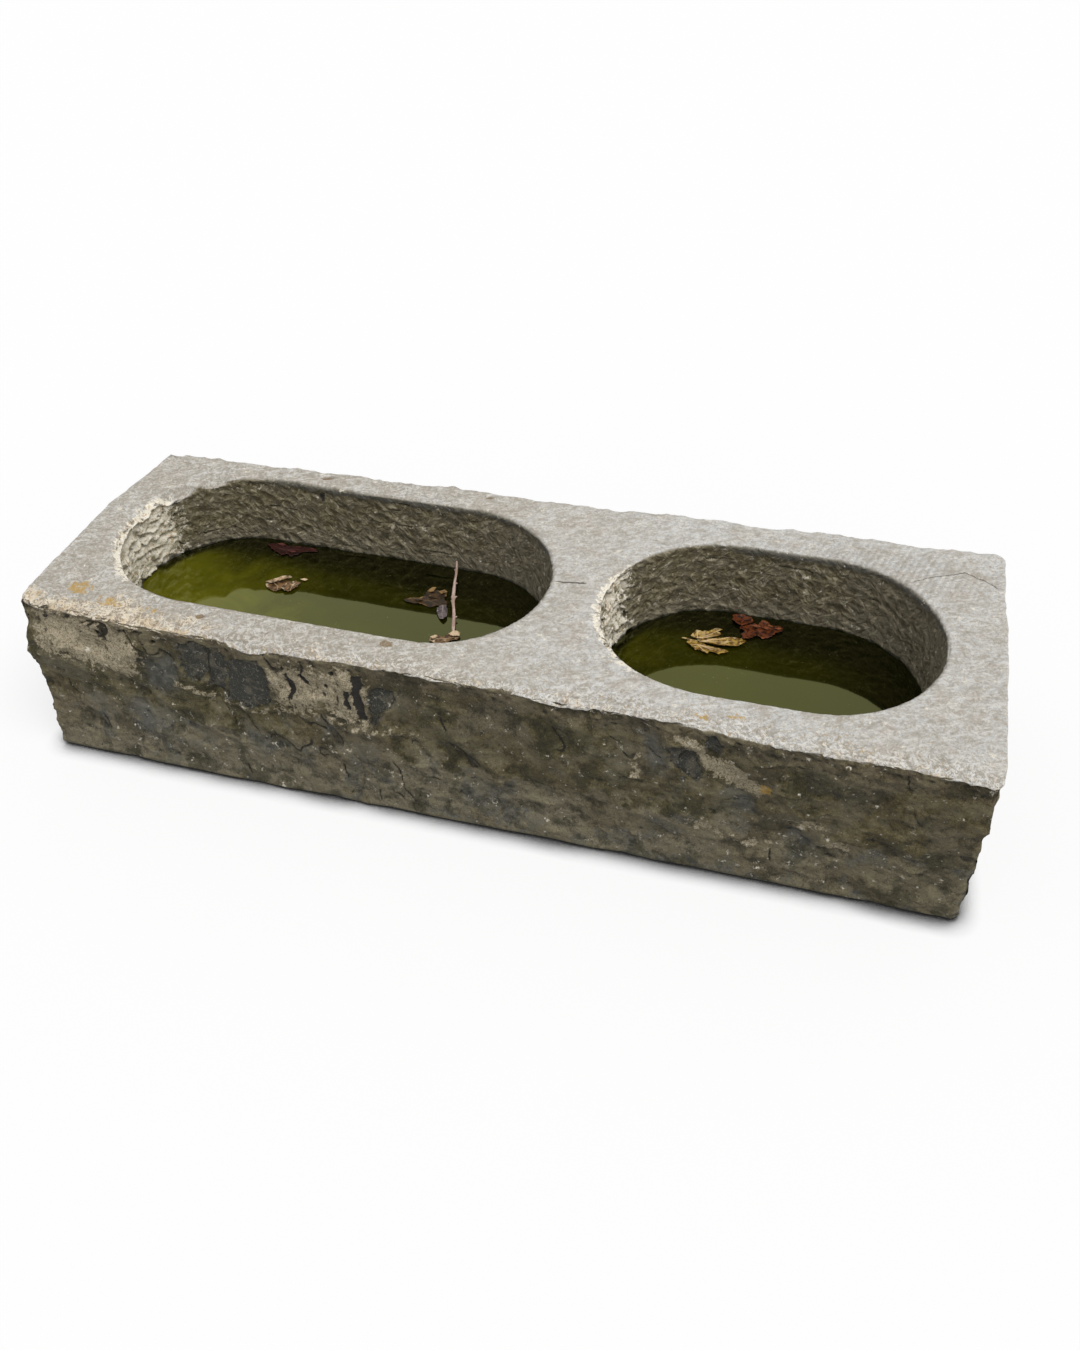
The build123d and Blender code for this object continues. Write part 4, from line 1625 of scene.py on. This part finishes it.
    def paint_front(self) -> None:
        """Fills the fields of the crusts, flats, stains and holes on the front, the holes and shadow spots dark with
        painted shade.
        """
        x, y, z = self.places.T
        front = ease(0.15, 0.6, -self.normals[:, 1]) * self.fields["outer"]
        rough = Grain(120)
        patch = rough.fractal(x, z + 0.3 * y, size=85.0)
        drawn = {name: np.zeros(len(x)) for name in ("slate", "stain", "dark", "lichen")}
        drawn["tan"] = 0.20 * patch - 0.02 + 0.14 * ease(100.0, -300.0, x) * ease(150.0, 260.0, z)
        picked = np.nonzero(front > 0.0)[0]
        u, v = self.wander(picked)
        torn = 0.30 * rough.fractal(u, v, size=22.0)
        for name, marks, level, soft, uneven in (
            ("tan", self.crusts, 0.92, 24.0, 0.15 * patch[picked] + 0.4 * torn),
            ("tan", self.splashes, 0.95, 13.0, 0.9 * torn),
            ("tan", (self.fringe,), 0.72, 15.0, 0.5 * torn),
            ("tan", (self.seam,), 0.8, 15.0, 0.5 * torn),
            ("tan", self.scabs, 0.9, 15.0, 0.5 * torn),
            ("slate", self.slates, 1.0, 10.0, 0.0),
            ("stain", self.stains, 1.0, 24.0, 0.0),
            # Painted shade in the holes and the shadow spots; the grooves are painted dark with them.
            ("dark", (*self.holes, *self.grooves), 1.0, 4.5, 0.0),
            ("dark", self.shadows, 0.72, 10.0, 0.0),
            ("lichen", self.moss, 0.75, 9.0, 0.0),
        ):
            for mark in marks:
                drawn[name][picked] = np.maximum(drawn[name][picked], level * mark.cover(u, v, soft) + uneven)
        for name, values in drawn.items():
            self.fields[name] = front * values

    def paint_top(self) -> None:
        """Fills the fields of the lichen, crumbs, pits and cracks on the top, and painted shade in one pit."""
        f = self.fields
        x, y, _ = self.places.T
        top = f["top"]
        for name, spots, level, soft in (
            # Painted shade in the deepest dent.
            ("dark", (Spot((-498, 249), (5, 3)),), 0.9, 4.0),
            ("lichen", self.lichens, 0.85, 9.0),
            ("soil", self.pits, 1.0, 6.0),
        ):
            for spot in spots:
                f[name] = np.maximum(f[name], level * top * spot.cover(x, y, soft))
        rough = Grain(130)
        edge = top * f["front_strip"] ** 0.25 * self.lumpy_end(rough, x, y)
        edge *= 0.80 + 0.30 * rough.fractal(x, y, size=34.0)
        crumbs = top * f["front_strip"] * (0.30 + 0.2 * rough.fractal(x, y, size=60.0, octaves=2))
        f["crumb"] = np.maximum(edge, crumbs)
        for basin in self.basins:
            bend = self.bend_share(basin, basin.travel(x, y)) * ease(27.0, 5.0, basin.gap(x, y))
            f["cream"] = np.maximum(f["cream"], 0.95 * basin.cream * top * bend)
        f["crack"] = np.full(len(x), 99.0)
        for crack in self.cracks:
            signed, share = crack.measure(x, y)
            closer = np.abs(signed) < np.minimum(np.abs(f["crack"]), 25.0)
            f["crack"] = np.where(closer, signed, f["crack"])
            taper = ease(0.0, 0.15, share) * ease(1.0, 0.85, share)
            f["crack_width"] = np.where(closer, top * crack.width * taper, f["crack_width"])
        f["tooled"] = top * Spot((665, 205), (190, 80)).cover(x, y, 40.0)

    def paint(self) -> None:
        """Fills the fields that the finish reads."""
        f = self.fields
        x, _, z = self.places.T
        f["warm"] = ease(350.0, -450.0, x)
        f["low"] = f["outer"] * ease(190.0, 90.0, z)
        f["brown"] = f["outer"] * ease(520.0, 760.0, x)
        self.paint_front()
        self.paint_top()
        # Painted shade in the nooks near the rims.
        for middle, radius in self.nooks:
            apart = np.sqrt((((self.places - middle) / (1.0, 3.0, 1.5)) ** 2).sum(1))
            f["dark"] = np.maximum(f["dark"], 0.85 * ease(radius + 4.0, radius - 4.0, apart))

    def measure_relief(self, mesh: bpy.types.Mesh) -> None:
        """Finds the ridges and hollows of the carved mesh, fine and broad, by which the finish lays painted shade and
        highlights.

        Args:
            mesh: The carved mesh.
        """
        ends = np.empty(len(mesh.edges) * 2, np.int32)
        mesh.edges.foreach_get("vertices", ends)
        first, second = ends.reshape(-1, 2).T
        count = len(self.places)
        shared = np.maximum(np.bincount(first, minlength=count) + np.bincount(second, minlength=count), 1)
        soft = self.places.copy()
        for step in range(26):
            for axis in range(3):
                around = np.bincount(first, soft[second, axis], count)
                around += np.bincount(second, soft[first, axis], count)
                soft[:, axis] = 0.4 * soft[:, axis] + 0.6 * around / shared
            if step in (3, 25):
                stands = np.sum((self.places - soft) * self.normals, 1)
                name = "fine" if step == 3 else "broad"
                spread = np.ones(count)
                for zone in ("top", "wall", "outer"):
                    inside = self.fields[zone] > 0.6
                    spread[inside] = np.std(stands[inside]) + 1e-6
                self.fields[name] = np.clip(stands / spread, -4.0, 4.0)

    def build(self) -> bpy.types.Object:
        """Builds the stone.

        Returns:
            The stone.
        """
        mesh = self.shell()
        self.read(mesh)
        low, high = self.places.min(0), self.places.max(0)
        self.zone()
        self.lift_chips()
        self.carve_outer()
        self.carve_walls()
        self.carve_top()
        self.pull_arrises()
        self.blunt_corners()
        self.chip_arrises()
        self.straighten_foot()
        self.places = np.clip(self.places, low, high)
        self.paint()
        mesh.vertices.foreach_set("co", (self.places * MILLIMETRE).astype(np.float32).ravel())
        mesh.update()
        self.read(mesh)
        self.measure_relief(mesh)
        for name in STONE_FIELDS:
            set_field(mesh, name, self.fields[name])
        mesh.update()
        return make_object("trough_stone", mesh, StoneFinish().make())


@dataclass
class WaterBody:
    """The water in one basin.

    Attributes:
        name: The node that it stands for.
        basin: Its basin.
        bright: How bright its narrow end is against the long basin's.
        overlap: How far it reaches into the carved stone.
    """

    name: str
    basin: Stadium
    bright: float = 1.0
    overlap: float = 9.0

    def build(self, material: bpy.types.Material) -> bpy.types.Object:
        """Builds the water.

        Args:
            material: Its finish.

        Returns:
            The water.
        """
        basin, count = self.basin, 48
        insets = [0.0, 4.0, 10.0, 20.0, 36.0, 58.0, 84.0, 112.0, 140.0, 165.0, 185.0]
        rings = [basin.ring(count, self.overlap - inset) for inset in insets]
        places = [(x, y, basin.bed) for x, y in rings[0]]
        places += [(x, y, basin.water - 0.4) for x, y in rings[0]]
        for inset, ring in zip(insets[1:], rings[1:]):
            places += [(x, y, basin.water) for x, y in ring]
        around, levels = 2 * count, len(insets) + 1
        faces = [tuple(reversed(range(around))), *band(0, around, levels)]
        faces.append(tuple(range((levels - 1) * around, levels * around)))
        spots = np.array(places)
        x, y, _ = spots.T
        along, across = basin.inside(x, y)
        end = basin.straight + basin.radius
        lit = ease(end * 0.35, -end, along) ** 1.6 + 0.16 * ease(40.0, -basin.radius, across)
        lit *= self.bright
        # The shade field is painted shade: darker towards the back and the wide end and in the short basin, darkest
        # along the back wall.
        shade = ease(basin.radius * 0.35, basin.radius * 0.9, across) + 0.75 * ease(-end * 0.1, end * 0.9, along)
        shade += 0.3 * (0.76 - self.bright) + 0.9 * ease(26.0, 8.0, -basin.gap(x, y)) * ease(0.0, 60.0, across)
        mesh = make_mesh(self.name, spots, faces, lit=lit, shade=np.clip(shade, 0.0, 1.0))
        return make_object(f"{self.name}_visual", mesh, material)


@dataclass
class Twig:
    """The bare twig that leans on the basin's wall.

    Attributes:
        path: Places along its middle, from its foot.
        radii: Radius at each place.
        buds: Share of the length and angle in degrees of each bud.
        sides: Faces round it.
    """

    path: tuple[Place, ...] = (
        (-134.0, -3.0, 203.5), (-139.0, 14.0, 205.4), (-149.0, 49.0, 208.4), (-163.0, 84.0, 211.0),
        (-169.0, 105.0, 213.2), (-178.0, 140.0, 217.0), (-184.5, 173.0, 220.5), (-194.0, 203.0, 224.2),
    )
    radii: tuple[float, ...] = (3.3, 4.0, 3.5, 3.6, 3.7, 3.1, 2.7, 2.0)
    buds: tuple[Point, ...] = ((0.24, 20.0), (0.42, 160.0), (0.50, 15.0), (0.70, -10.0), (0.86, 170.0))
    sides: int = 14

    def build(self, material: bpy.types.Material) -> bpy.types.Object:
        """Builds the twig.

        Args:
            material: Its finish.

        Returns:
            The twig with its buds, as one piece.
        """
        ticks = np.linspace(0.0, 1.0, len(self.path))
        shares = np.linspace(0.0, 1.0, 70)
        spine = np.stack([even_out(np.interp(shares, ticks, key), 3) for key in np.array(self.path).T], 1)
        radii = np.interp(shares, ticks, self.radii)
        knot = 0.45 * np.exp(-(((shares - 0.50) / 0.02) ** 2))
        radii *= 1.0 + knot + 0.10 * Grain(8).smooth(shares * 14.0)
        radii[0] *= 0.45
        radii[1] *= 0.8
        places, faces = [], band(0, self.sides, len(shares))
        for middle, radius in zip(spine, radii):
            for step in range(self.sides):
                angle = 2.0 * math.pi * step / self.sides
                places.append(middle + radius * np.array([math.cos(angle), 0.25 * math.sin(angle), math.sin(angle)]))
        faces.append(tuple(range(self.sides)))
        faces.append(tuple(reversed(range((len(shares) - 1) * self.sides, len(shares) * self.sides))))
        around, rings = 8, 6
        for foot, angle in self.buds:
            middle = np.array([np.interp(foot, shares, line) for line in spine.T])
            radius = float(np.interp(foot, shares, radii))
            out = np.array([math.cos(math.radians(angle)), 0.5, math.sin(math.radians(angle))])
            faces += band(len(places), around, rings)
            for ring in range(rings):
                share = ring / (rings - 1)
                thick = 2.1 * math.sin(math.pi * (0.25 + 0.72 * share))
                for step in range(around):
                    turn = 2.0 * math.pi * step / around
                    side = np.array([-out[2], 0.0, out[0]]) * math.cos(turn) + np.array([0.0, math.sin(turn), 0.0])
                    places.append(middle + out * (radius * 0.6 + 4.6 * share) + side * thick)
            faces.append(tuple(range(len(places) - around, len(places))))
        mesh = make_mesh("twig", np.array(places), faces)
        return make_object("twig_visual", mesh, material)


@dataclass(frozen=True)
class Sheet:
    """One layer of a leaf, with its own outline.

    Attributes:
        middle: Where its ribs meet.
        outline: Its corners in order.
        tips: Where its ribs end.
        lift: How far it lies over the leaf's lowest part.
        curl: How far its edge stands up.
        pale: How far it takes the painted highlight, the leaf's palest colour.
    """

    middle: Point
    outline: tuple[Point, ...]
    tips: tuple[Point, ...] = ()
    lift: float = 0.0
    curl: float = 4.0
    pale: float = 0.0

    def reach(self, angle: Array) -> Array:
        """Gives the distance from its middle to its outline.

        Args:
            angle: Directions in degrees.

        Returns:
            The distances.
        """
        found = np.full(angle.shape, 0.5)
        along, across = np.cos(np.radians(angle)), np.sin(np.radians(angle))
        for (ax, ay), (bx, by) in zip(self.outline, (*self.outline[1:], self.outline[0])):
            x, y, dx, dy = ax - self.middle[0], ay - self.middle[1], bx - ax, by - ay
            level = along * dy - across * dx
            level = np.where(np.abs(level) < 1e-9, 1e-9, level)
            far = (x * dy - y * dx) / level
            share = (x * across - y * along) / level
            found = np.where((share >= 0.0) & (share <= 1.0) & (far > found), far, found)
        return found


@dataclass(frozen=True)
class FallenLeaf:
    """A dead leaf that floats, torn, crumpled and curled at its edge.

    Attributes:
        name: The node that it stands for.
        slot: The slot that its finish comes from.
        sheets: Its layers.
        level: Height of its lowest part.
        crumple: How far it is crumpled.
        seed: Which crumple it has.
        thick: Its thickness.
    """

    name: str
    slot: str
    sheets: tuple[Sheet, ...]
    level: float
    crumple: float = 3.0
    seed: int = 1
    thick: float = 0.8

    def layer(self, sheet: Sheet, seed: int, start: int) -> tuple[Array, list[Face], Array, Array]:
        """Builds one layer.

        Args:
            sheet: The layer.
            seed: Which crumple it has.
            start: Number of its first vertex.

        Returns:
            Its places, its faces, and how far each vertex is vein and rim.
        """
        around, rings = 128, 10
        grain = Grain(seed)
        angles = np.arange(around) * 360.0 / around
        teeth = 1.0 + 0.07 * grain.smooth(angles / 9.0) + 0.05 * grain.smooth(angles / 4.0 + 50.0)
        angle, share = np.meshgrid(angles, np.linspace(0.03, 1.0, rings))
        radius = (sheet.reach(angles) * teeth)[None, :] * share
        x = sheet.middle[0] + radius * np.cos(np.radians(angle))
        y = sheet.middle[1] + radius * np.sin(np.radians(angle))
        lift = sheet.curl * share**2.5 * (0.35 + 0.65 * (0.5 + 0.5 * grain.smooth(angle / 38.0, share * 0.0)))
        fold = self.crumple * (0.5 + 0.5 * grain.fractal(x, y, size=17.0))
        vein = np.zeros(x.shape)
        for tip in sheet.tips:
            vein = np.maximum(vein, near(Stroke((sheet.middle, tip), 0.0).measure(x, y)[0], 0.9, 0.9))
        z = self.level + sheet.lift + lift + fold + 0.9 * vein
        upper = np.stack([x, y, z], -1).reshape(-1, 3)
        count = around * rings
        faces: list[Face] = []
        for a, b, c, d in band(start, around, rings):
            faces += [(a, d, c, b), (b + count, c + count, d + count, a + count)]
        last = start + count - around
        for step in range(around):
            here, after = last + step, last + (step + 1) % around
            faces.append((here, here + count, after + count, after))
        faces.append(tuple(range(start, start + around)))
        faces.append(tuple(reversed(range(start + count, start + count + around))))
        # How far the curled edge takes the painted highlight.
        rim = share**2 * (0.5 + 0.5 * grain.smooth(angle / 20.0, share * 3.0))
        places = np.concatenate([upper, upper - np.array([0.0, 0.0, self.thick])])
        return places, faces, np.tile(vein.ravel(), 2), np.tile(rim.ravel(), 2)

    def build(self, material: bpy.types.Material) -> bpy.types.Object:
        """Builds the leaf.

        Args:
            material: Its finish.

        Returns:
            The leaf with all its layers, as one piece.
        """
        layers, faces, start = [], [], 0
        for index, sheet in enumerate(self.sheets):
            spots, added, vein, rim = self.layer(sheet, self.seed + index, start)
            layers.append((spots, vein, rim, np.full(len(spots), sheet.pale)))
            faces += added
            start += len(spots)
        places, veins, rims, pales = (np.concatenate(parts) for parts in zip(*layers))
        mesh = make_mesh(self.name, places, faces, vein=veins, rim=rims, pale=pales)
        return make_object(f"{self.name}_visual", mesh, material)


FALLEN_LEAVES = (
    FallenLeaf("red_leaf", "red_leaf", (
        Sheet((-585, 178), (
            (-640, 188), (-618, 193), (-606, 199), (-586, 193), (-567, 195), (-548, 198), (-530, 198), (-515, 193),
            (-521, 186), (-542, 181), (-551, 170), (-563, 155), (-575, 165), (-583, 156), (-604, 166), (-622, 178),
        ), ((-530, 196), (-563, 157), (-606, 197), (-638, 187)), 0.0, 2.5),
        Sheet((-600, 190), ((-611, 192), (-600, 196), (-590, 191), (-598, 187)), (), 3.0, 1.0, 0.9),
        Sheet((-567, 172), ((-577, 173), (-566, 176), (-556, 172), (-566, 169)), (), 3.0, 1.0, 0.7),
    ), 201.0, 2.0, 3),
    FallenLeaf("curled_leaf", "pale_leaf", (
        Sheet((-545, 52), (
            (-573, 50), (-562, 66), (-545, 70), (-530, 74), (-512, 70), (-519, 48), (-541, 35), (-558, 36),
        ), ((-562, 62), (-540, 37)), 0.0, 3.0),
        Sheet((-548, 68), (
            (-574, 50), (-565, 61), (-551, 72), (-541, 80), (-530, 84), (-525, 79), (-538, 69), (-550, 59),
            (-560, 52),
        ), ((-528, 82), (-570, 52)), 6.0, 4.0, 0.5),
        Sheet((-515, 57), (
            (-530, 62), (-515, 74), (-501, 73), (-503, 56), (-511, 41), (-525, 37), (-534, 45),
        ), ((-503, 70), (-512, 43)), 1.0, 5.0, 0.12),
        Sheet((-500, 86), ((-508, 84), (-500, 90), (-492, 88), (-495, 82)), (), 1.0, 2.0, 0.8),
    ), 201.0, 3.0, 5),
    FallenLeaf("brown_leaf", "brown_leaf", (
        Sheet((-217, 84), (
            (-271, 75), (-259, 85), (-238, 88), (-228, 104), (-213, 100), (-205, 108), (-190, 104), (-183, 94),
            (-174, 84), (-178, 70), (-195, 72), (-207, 63), (-218, 68), (-245, 67), (-262, 68),
        ), ((-268, 76), (-228, 102), (-188, 102), (-180, 72)), 0.0, 3.0),
        Sheet((-205, 108), (
            (-232, 100), (-222, 122), (-205, 118), (-190, 121), (-184, 104), (-196, 94), (-218, 92),
        ), (), 1.0, 3.0),
        Sheet((-221, 116), ((-229, 108), (-222, 124), (-214, 125), (-216, 110)), (), 4.0, 2.0, 0.9),
        Sheet((-196, 114), ((-206, 115), (-194, 121), (-186, 116), (-197, 107)), (), 4.0, 2.0, 0.9),
        Sheet((-238, 80), ((-248, 80), (-236, 86), (-226, 82), (-237, 76)), (), 3.0, 1.0, 0.5),
    ), 201.0, 2.6, 7),
    FallenLeaf("seed_husk", "husk", (
        Sheet((-177, 52), (
            (-190, 60), (-186, 75), (-177, 76), (-167, 60), (-162, 42), (-166, 28), (-175, 33), (-185, 46),
        ), ((-182, 74), (-167, 30)), 0.0, 7.0),
    ), 201.0, 1.5, 9),
    FallenLeaf("tan_leaf", "pale_leaf", (
        Sheet((-148, -25), (
            (-175, -31), (-166, -18), (-150, -20), (-142, -10), (-131, -4), (-117, -8), (-117, -19), (-129, -27),
            (-139, -38), (-155, -43), (-169, -40),
        ), ((-172, -31), (-120, -12)), 0.0, 3.0, 0.1),
        Sheet((-129, -8), ((-141, -12), (-132, 0), (-118, -4), (-117, -14), (-129, -18)), (), 4.0, 3.0, 0.9),
        Sheet((-166, -27), ((-174, -30), (-166, -21), (-158, -25), (-166, -33)), (), 3.0, 2.0, 0.8),
    ), 201.0, 2.4, 11),
    FallenLeaf("yellow_leaf", "yellow_leaf", (
        Sheet((347, 92), (
            (331, 98), (347, 99), (361, 93), (376, 87), (393, 88), (407, 87), (405, 76), (393, 69), (381, 77),
            (370, 66), (357, 72), (344, 74), (334, 83), (326, 90),
        ), ((405, 76), (371, 68), (393, 86), (333, 84)), 0.0, 6.0, 0.1),
        Sheet((352, 98), (
            (345, 101), (361, 113), (375, 109), (381, 117), (395, 121), (409, 127), (424, 125), (443, 119),
            (430, 111), (424, 101), (412, 99), (401, 93), (384, 97), (365, 94), (351, 93),
        ), ((440, 119), (412, 100), (408, 125), (381, 115)), 3.0, 5.0, 0.22),
        Sheet((346, 103), (
            (331, 103), (339, 122), (356, 129), (366, 128), (375, 139), (389, 138), (379, 128), (393, 127),
            (384, 118), (362, 107), (347, 99),
        ), ((386, 136), (392, 126), (341, 120)), 6.0, 5.0, 0.42),
        Sheet((331, 99), ((313, 100), (331, 98), (346, 98), (346, 101), (331, 101), (314, 103)), (), 3.0, 1.0, 0.5),
    ), 194.0, 3.0, 13),
    FallenLeaf("russet_leaf", "russet_leaf", (
        Sheet((455, 163), (
            (429, 172), (447, 184), (455, 178), (461, 194), (478, 190), (487, 181), (495, 187), (509, 183),
            (505, 169), (492, 162), (484, 148), (470, 140), (462, 146), (453, 140), (443, 131), (430, 130),
            (427, 141), (432, 153), (419, 163),
        ), ((506, 180), (432, 132), (484, 149), (463, 192)), 0.0, 4.0),
        Sheet((424, 187), (
            (402, 198), (412, 201), (426, 200), (439, 197), (446, 186), (440, 177), (424, 169), (411, 173),
            (404, 181),
        ), ((404, 197), (440, 196)), 3.0, 3.0, 0.08),
        Sheet((453, 172), ((444, 172), (453, 176), (462, 172), (453, 168)), (), 5.0, 1.0, 0.8),
        Sheet((474, 171), ((464, 171), (474, 176), (484, 170), (473, 166)), (), 5.0, 1.0, 0.7),
        Sheet((496, 175), ((489, 173), (496, 179), (503, 175), (496, 171)), (), 5.0, 1.0, 0.7),
    ), 194.0, 3.0, 21),
)


@dataclass
class Studio:
    """The pale floor, the lights and the camera.

    Attributes:
        sky: Strength of the light from all round.
        sun: Strength of the broad light overhead.
        shadow: Share of the floor's own shading that the camera sees.
        contact: Width in millimetres of the painted contact shadow along the stone's foot.
        reach: Half the floor's width.
    """

    sky: float = 0.42
    sun: float = 2.05
    shadow: float = 0.3
    contact: float = 42.0
    reach: float = 8000.0

    def camera(self) -> None:
        """Sets the camera where the photograph was taken."""
        yaw, pitch, roll = math.radians(16.843), math.radians(41.717), math.radians(-1.633)
        ahead = Vector((-math.sin(yaw) * math.cos(pitch), math.cos(yaw) * math.cos(pitch), -math.sin(pitch)))
        level = Vector((math.cos(yaw), math.sin(yaw), 0.0))
        upright = level.cross(ahead)
        right = level * math.cos(roll) + upright * math.sin(roll)
        above = upright * math.cos(roll) - level * math.sin(roll)
        data = bpy.data.cameras.new("camera")
        data.lens = 32.917
        data.sensor_width = 36.0
        made = bpy.data.objects.new("camera", data)
        turn = Matrix((right, above, -ahead)).transposed().to_4x4()
        made.matrix_world = Matrix.Translation((0.58794, -1.79034, 1.79394)) @ turn
        bpy.context.scene.collection.objects.link(made)
        bpy.context.scene.camera = made

    def world(self) -> None:
        """Makes the light from all round, white where the camera or a gloss looks at it."""
        g = Graph(bpy.data.worlds.new("studio"))
        seen, _ = g.seen()
        light = g.node("ShaderNodeBackground")
        g.fill(light, Color=(1.0, 1.0, 1.0), Strength=g.ramp(seen, 0.0, 1.0, self.sky, 1.0))
        bpy.context.scene.world = g.end("ShaderNodeOutputWorld", light.outputs[0])

    def floor(self) -> bpy.types.Object:
        """Makes the floor, white to the camera, duller to the light that it throws back, and with a painted contact
        shadow along the stone's foot.

        Returns:
            The floor.
        """
        tiles = 8
        steps = np.linspace(-self.reach, self.reach, tiles + 1)
        places = np.array([(x, y, 0.0) for y in steps for x in steps])
        firsts = [row * (tiles + 1) + column for row in range(tiles) for column in range(tiles)]
        faces = [(first, first + 1, first + tiles + 2, first + tiles + 1) for first in firsts]
        g = material_graph("studio_floor")
        seen, thrown = g.seen()
        # Painted contact shadow: ambient occlusion darkens the floor's white and its colour along the stone's foot.
        contact_occlusion = g.fill(g.node("ShaderNodeAmbientOcclusion", samples=6), Distance=self.contact * MILLIMETRE)
        clear = g.ramp(contact_occlusion.outputs["AO"], 0.48, 0.99, 0.02, 1.0)
        white = g.fill(g.node("ShaderNodeEmission"), Strength=clear)
        shown = g.mix(clear, (0.05, 0.05, 0.05), (0.97, 0.97, 0.97))
        matt = g.fill(g.node("ShaderNodeBsdfDiffuse"), Color=g.mix(thrown, shown, (0.24, 0.235, 0.22)))
        mixed = g.node("ShaderNodeMixShader")
        g.feed(mixed.inputs[0], g.calc("MULTIPLY", seen, 1.0 - self.shadow))
        g.feed(mixed.inputs[1], matt.outputs[0])
        g.feed(mixed.inputs[2], white.outputs[0])
        material = g.end("ShaderNodeOutputMaterial", mixed.outputs[0])
        return make_object("studio_floor", make_mesh("studio_floor", places, faces), material)

    def lamps(self) -> None:
        """Hangs the broad soft light, high up and a little to the wide end."""
        data = bpy.data.lights.new("overhead", "SUN")
        data.energy = self.sun
        data.angle = math.radians(40.0)
        made = bpy.data.objects.new("overhead", data)
        made.rotation_euler = Vector((0.42, -0.26, 1.0)).to_track_quat("Z", "Y").to_euler()
        made.visible_glossy = False
        bpy.context.scene.collection.objects.link(made)

    def build(self) -> None:
        """Builds the whole studio."""
        self.world()
        self.lamps()
        self.camera()
        self.floor()
        bpy.context.scene.view_settings.view_transform = "Standard"


def main() -> None:
    """Builds every piece in order and notes the stone's vertex count."""
    logging.basicConfig(level=logging.INFO, format="%(message)s")
    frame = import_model()
    nodes = frame["nodes"]

    stone = TroughStone(nodes["trough_block"]).build()
    settle(stone, "trough_block")
    LOG.info("stone: %d vertices", len(stone.data.vertices))

    water = WaterFinish().make()
    for name, basin, bright in (("water_long_basin", LONG_WATER, 0.76), ("water_short_basin", SHORT_WATER, 0.34)):
        settle(WaterBody(name, basin, bright).build(water), name)
        LOG.info("water: %s", name)

    twig = Twig().build(WoodFinish("bare_wood", (0.62, 0.47, 0.40), (0.34, 0.22, 0.17)).make())
    settle(twig, "twig")
    LOG.info("twig")

    finishes = {finish.name: finish for finish in LEAF_FINISHES}
    for leaf in FALLEN_LEAVES:
        settle(leaf.build(finishes[leaf.slot].make()), leaf.name)
        LOG.info("leaf: %s", leaf.name)

    Studio().build()


if __name__ == "__main__":
    main()
